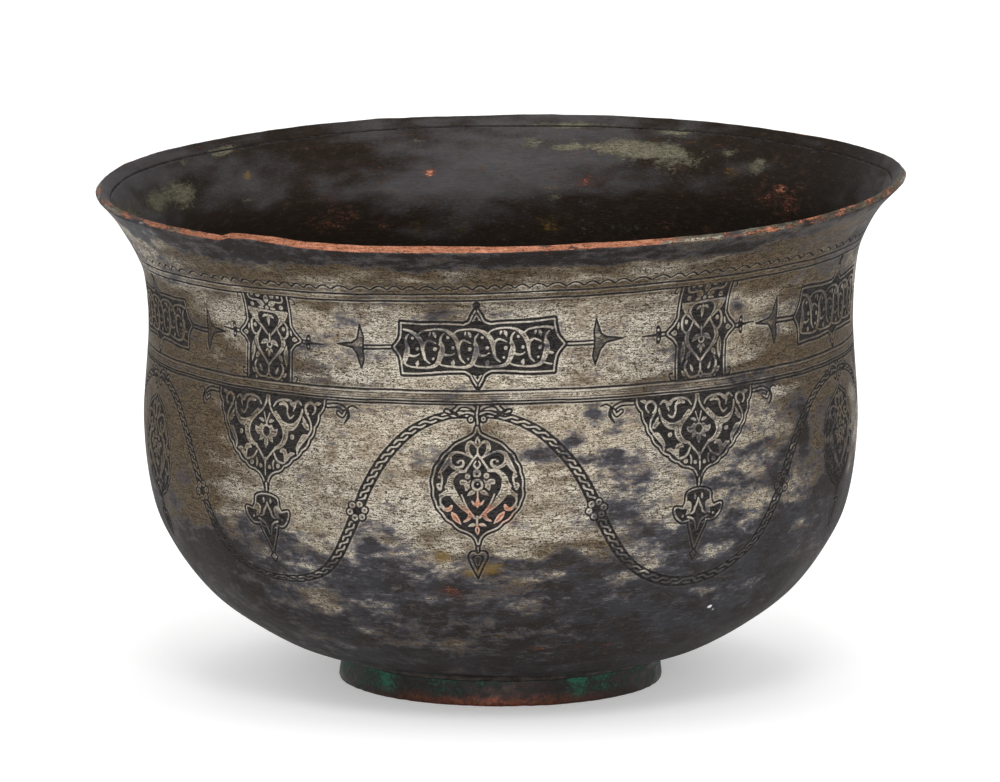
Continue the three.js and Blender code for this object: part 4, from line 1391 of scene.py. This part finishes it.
def tinned_copper():
    f = Finish("worn_tin_on_copper")
    dark, brown, copper, ochre = f.attribute("finish")
    ink, chip, inner, burr = f.attribute("marks")
    broad, patch = f.noise(34, 4), f.noise(10, 6, 1.7, 0.66)
    blotch, strokes = f.noise(4.2, 5, 2.6, 0.68, 0.3), f.noise(4, 4, 10.0, 0.72, 0.5)
    speck, grain = f.noise(1.5, 3, 2.6, 0.7, 0.7), f.noise(0.6, 3, 2.2, 0.7, 0.9)
    pits = f.noise(1.1, 2, 2.0, 0.6, 0.2)
    light = f.weigh((grain, 0.4), (speck, 0.25), (strokes, 0.35))
    # Tin: warm pale grey with pits, short strokes and brown blotches, browner where it is tarnished and
    # where shade is painted at the sides and neck
    tin = f.layers(
        f.shade(light, 0.44, 0.555, (60, 52, 42), (206, 198, 182)),
        (patch, 0.48, 0.6, 0.45, (122, 108, 90)),
        (broad, 0.42, 0.6, 0.3, (150, 134, 108)),
    )
    tarnished_and_shaded = f.shade(light, 0.41, 0.59, (40, 33, 26), (110, 95, 74))
    tin = f.layers(
        f.mix(f.step(brown, 0.2, 0.9, 0.0, 0.95), tin, tarnished_and_shaded),
        (blotch, 0.55, 0.63, 0.5, (78, 64, 50)),
        (strokes, 0.58, 0.66, 0.7, (70, 59, 49)),
        (speck, 0.6, 0.67, 0.8, (48, 41, 37)),
        (pits, 0.585, 0.62, 0.85, (46, 36, 31)),
    )
    # Blue-grey film, which at the silhouettes is a painted sheen, and the brown-black skin where the tin
    # has gone, which under the flared lip is painted shade
    loose = f.weigh((patch, 1.2), (blotch, 1.0), (speck, 1.3), (grain, 1.1), (strokes, 0.4))
    loose = f.plus(loose, -2.5)
    # What is worn and gone follows the dark channel, which also holds painted shade and a painted sheen
    wear_and_shade = f.plus(dark, loose)
    gone_and_shaded = f.step(wear_and_shade, 0.57, 0.62)
    film_and_sheen = f.layers(
        f.shade(light, 0.42, 0.6, (60, 59, 64), (128, 126, 130)),
        (brown, 0.15, 0.7, 0.8, (82, 73, 64)),
    )
    scuffs = f.weigh((strokes, 0.5), (blotch, 0.5))
    bluish = f.times(f.step(scuffs, 0.5, 0.6, 0.0, 0.5), f.step(brown, 0.35, 0.9, 1.0, 0.3))
    deep = f.layers(
        f.shade(patch, 0.42, 0.6, (54, 53, 55), (46, 43, 42)),
        (brown, 0.35, 1.0, 0.85, (40, 34, 30)),
    )
    deep = f.mix(bluish, deep, tone(84, 83, 90))
    slate = f.shade(light, 0.42, 0.6, (52, 51, 55), (98, 97, 103))
    deep = f.layers(f.mix(f.step(wear_and_shade, 0.6, 0.85), slate, deep), (speck, 0.62, 0.69, 0.5, (116, 110, 96)))
    outside = f.mix(f.step(wear_and_shade, 0.375, 0.425, 0.0, 0.85), tin, film_and_sheen)
    outside = f.mix(gone_and_shaded, outside, deep)
    # Inside: olive remains of tin on a film that is browner and blacker lower down, and browner at the side
    # walls as painted shade
    old_tin = f.layers(
        f.shade(light, 0.42, 0.58, (66, 63, 52), (118, 113, 96)),
        (speck, 0.58, 0.66, 0.8, (50, 46, 40)),
    )
    browned = f.plus(brown, loose, 0.55)
    greyed = f.times(f.step(scuffs, 0.42, 0.62), f.step(browned, 1.0, 0.1, 0.1, 0.5))
    soot = f.shade(browned, 0.15, 1.15, (66, 63, 64), (31, 23, 15))
    soot = f.layers(f.mix(greyed, soot, tone(82, 79, 81)), (blotch, 0.58, 0.68, 0.5, (60, 46, 26)))
    inside = f.mix(f.step(wear_and_shade, 0.34, 0.72), old_tin, soot)
    # Stains, and bare copper with its red-brown surround
    laid_bare = f.plus(copper, loose, 0.8)
    bare = f.step(laid_bare, 0.42, 0.62)
    red = f.layers(
        f.shade(light, 0.4, 0.48, (66, 45, 36), (150, 96, 70)),
        (light, 0.48, 0.6, 1.0, (202, 144, 118)),
        (speck, 0.56, 0.62, 0.45, (58, 44, 38)),
    )
    colour = f.layers(
        f.mix(inner, outside, inside),
        (f.plus(ochre, loose), 0.3, 0.9, 0.7, (118, 94, 44)),
        (laid_bare, 0.15, 0.5, 0.7, (104, 60, 45)),
    )
    colour = f.layers(f.mix(bare, colour, red), (f.plus(chip, loose, 0.7), 0.5, 0.7, 1.0, (228, 230, 234)))
    # Rubbed edges of the cuts, which also stand for a painted highlight, weaker on the browner sides, and
    # the black in them
    rubbed_and_highlit = f.step(f.plus(burr, loose, 0.3), 0.15, 0.7, 0.0, 0.5)
    for value, low, high, least in ((brown, 0.5, 1.1, 0.25), (wear_and_shade, 0.4, 0.6, 0.15)):
        rubbed_and_highlit = f.times(rubbed_and_highlit, f.step(value, low, high, 1.0, least))
    colour = f.mix(rubbed_and_highlit, colour, f.mix(inner, tone(190, 184, 174), colour))
    filled = f.step(f.plus(ink, loose, 0.3), 0.3, 0.66)
    colour = f.mix(filled, colour, f.shade(light, 0.43, 0.6, (27, 26, 27), (74, 70, 67)))
    metallic = f.blend(filled, f.blend(gone_and_shaded, 0.9, 0.8), 0.75)
    rough = f.blend(gone_and_shaded, f.step(patch, 0.3, 0.7, 0.4, 0.54), f.step(broad, 0.35, 0.65, 0.42, 0.56))
    rough = f.blend(filled, f.blend(bare, rough, 0.42), 0.8)
    f.shader.inputs["Specular Tint"].default_value = (0.5, 0.5, 0.5, 1)
    return f.finish(colour, metallic, rough, f.plus(light, gone_and_shaded, -0.15), 0.4)


def foot_copper():
    f = Finish("corroded_copper")
    split = f.tree.nodes.new("ShaderNodeSeparateXYZ")
    f.put(split.inputs[0], f.place)
    height = split.outputs[2]
    crust, red = f.attribute("crust")[:2]
    broad, middle, fine = f.noise(16, 4, 1.5), f.noise(5, 5, 1.5, 0.65), f.noise(1.2, 4, 1.0, 0.7)
    skin = f.layers(
        f.shade(middle, 0.38, 0.64, (36, 29, 26), (22, 21, 21)),
        (broad, 0.42, 0.62, 0.35, (54, 33, 25)),
    )
    # Red rust along the lower edge, and verdigris above it
    low = f.plus(height, f.plus(middle, -0.5), 0.006)
    rust = f.shade(fine, 0.38, 0.64, (54, 28, 18), (112, 52, 26))
    skin = f.mix(f.times(f.step(low, 0.0005, 0.0055, 0.85, 0.0), red), skin, rust)
    growth = f.weigh((crust, 1.0), (fine, 1.9), (middle, 1.0))
    green = f.times(f.step(growth, 1.6, 2.1, 0.0, 0.9), f.step(height, 0.001, 0.005, 0.05, 1.0))
    skin = f.mix(green, skin, f.shade(growth, 1.8, 2.5, (20, 34, 31), (38, 100, 78)))
    rough = f.blend(green, f.step(middle, 0.3, 0.7, 0.42, 0.6), 0.85)
    return f.finish(skin, f.blend(green, 0.6, 0.0), rough, f.plus(fine, middle), 0.12)


def dull_solder(name, light, dark, green):
    f = Finish(name)
    middle, fine = f.noise(4, 5, 1.0, 0.65), f.noise(0.9, 4, 1.0, 0.7)
    skin = f.layers(f.shade(middle, 0.36, 0.66, light, dark), (fine, 0.55, 0.7, 0.6, (40, 36, 34)))
    crust = f.step(f.noise(9, 3, 1.0, 0.5, 0.4), 0.58, 0.68, 0.0, green)
    skin = f.mix(crust, skin, tone(44, 92, 78))
    return f.finish(skin, f.blend(crust, 0.6, 0.0), f.step(fine, 0.35, 0.7, 0.45, 0.65), fine, 0.1)


bowl = build_bowl()
hoop = build_hoop()
add_crust(hoop)
outer_bead = build_bead("foot_bead_outer", 1)
inner_bead = build_bead("foot_bead_inner", -1)
solder = dull_solder("dull_solder", (84, 80, 76), (52, 46, 42), 0.6)
for piece, node, slot, material in (
    (bowl, "bowl_shell", "tinned_copper", tinned_copper()),
    (hoop, "foot_ring", "foot_copper", foot_copper()),
    (outer_bead, "foot_solder_outer", "solder", solder),
    (inner_bead, "foot_solder_inner", "solder", solder),
):
    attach(piece, "root")
    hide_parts(node)
    piece.data.materials.append(material)
brazing = dull_solder("dull_brazing", (96, 78, 52), (62, 46, 34), 0.4)
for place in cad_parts["foot_ring_seam"].material_slots:
    place.material = brazing

# Floor, light and camera

FLOOR_GLOW = 0.31
WORLD_LIGHT = 0.7
WHITE = (1, 1, 1, 1)


def seen_rays(tree):
    """1 for what the camera sees, also in gloss and through glass, and 0 for what light falls on."""
    path = tree.nodes.new("ShaderNodeLightPath")
    total = path.outputs["Is Camera Ray"]
    for name in ("Is Glossy Ray", "Is Transmission Ray"):
        node = tree.nodes.new("ShaderNodeMath")
        node.operation = "MAXIMUM"
        tree.links.new(total, node.inputs[0])
        tree.links.new(path.outputs[name], node.inputs[1])
        total = node.outputs[0]
    return total


def floor_material():
    """Pale floor that shows shadows, and shines a little of its own to the camera and in reflections."""
    f = Finish("studio_floor")
    for name, value in (
        ("Base Color", (0.9, 0.9, 0.9, 1)), ("Roughness", 0.9),
        ("Specular IOR Level", 0.0), ("Emission Color", WHITE),
    ):
        f.shader.inputs[name].default_value = value
    f.put(f.shader.inputs["Emission Strength"], f.times(seen_rays(f.tree), FLOOR_GLOW))
    return f.material


def build_floor():
    mesh = bpy.data.meshes.new("studio_floor")
    reach = 5.0
    corners = [(-reach, -reach, 0), (reach, -reach, 0), (reach, reach, 0), (-reach, reach, 0)]
    mesh.from_pydata(corners, [], [(0, 1, 2, 3)])
    mesh.materials.append(floor_material())
    put_in_scene("studio_floor", mesh)


def light_world():
    """Even white light, behind which the camera sees plain white."""
    world = bpy.data.worlds.new("studio")
    world.use_nodes = True
    tree = world.node_tree
    soft, seen = tree.nodes["Background"], tree.nodes.new("ShaderNodeBackground")
    for node, strength in ((soft, WORLD_LIGHT), (seen, 1.0)):
        node.inputs["Color"].default_value = WHITE
        node.inputs["Strength"].default_value = strength
    mix = tree.nodes.new("ShaderNodeMixShader")
    for socket, output in zip(mix.inputs, (seen_rays(tree), soft.outputs[0], seen.outputs[0])):
        tree.links.new(output, socket)
    tree.links.new(mix.outputs[0], tree.nodes["World Output"].inputs["Surface"])
    bpy.context.scene.world = world


def area_light(name, place, aim, wide, tall, power):
    data = bpy.data.lights.new(name, "AREA")
    data.shape = "RECTANGLE"
    data.size, data.size_y, data.energy = wide, tall, power
    lamp = put_in_scene(name, data)
    lamp.location = place
    lamp.rotation_euler = (Vector(aim) - Vector(place)).to_track_quat("-Z", "Y").to_euler()


def place_camera():
    """Long lens from the front, which looks down a little. Its view is as wide as given at the target."""
    distance, looks_down, width, sensor = 6.0, math.radians(10.4), 0.346, 36
    target = Vector((-0.00035, 0, 0.1002))
    data = bpy.data.cameras.new("camera")
    data.sensor_width = sensor
    data.lens = sensor * distance / width / math.cos(looks_down)
    camera = put_in_scene("camera", data)
    back = Vector((0, -1, math.tan(looks_down))) * distance
    camera.location = target + back
    camera.rotation_euler = (-back).to_track_quat("-Z", "Y").to_euler()
    bpy.context.scene.camera = camera


build_floor()
light_world()
for lamp in (
    ("front", (-0.1, -2.5, 0.45), (0, 0, 0.1), 0.9, 0.8, 18),
    ("upper_front", (0.1, -1.9, 2.0), (0, 0, 0.15), 0.9, 0.7, 14),
    ("left", (-1.6, -0.8, 1.6), (0, 0, 0.1), 1.4, 1.4, 6),
    ("right", (1.7, -0.7, 1.4), (0, 0, 0.1), 1.4, 1.4, 7),
    ("top", (0.0, 0.5, 2.4), (0, 0, 0.1), 1.8, 1.8, 13),
):
    area_light(*lamp)
place_camera()
bpy.context.scene.view_settings.view_transform = "Standard"
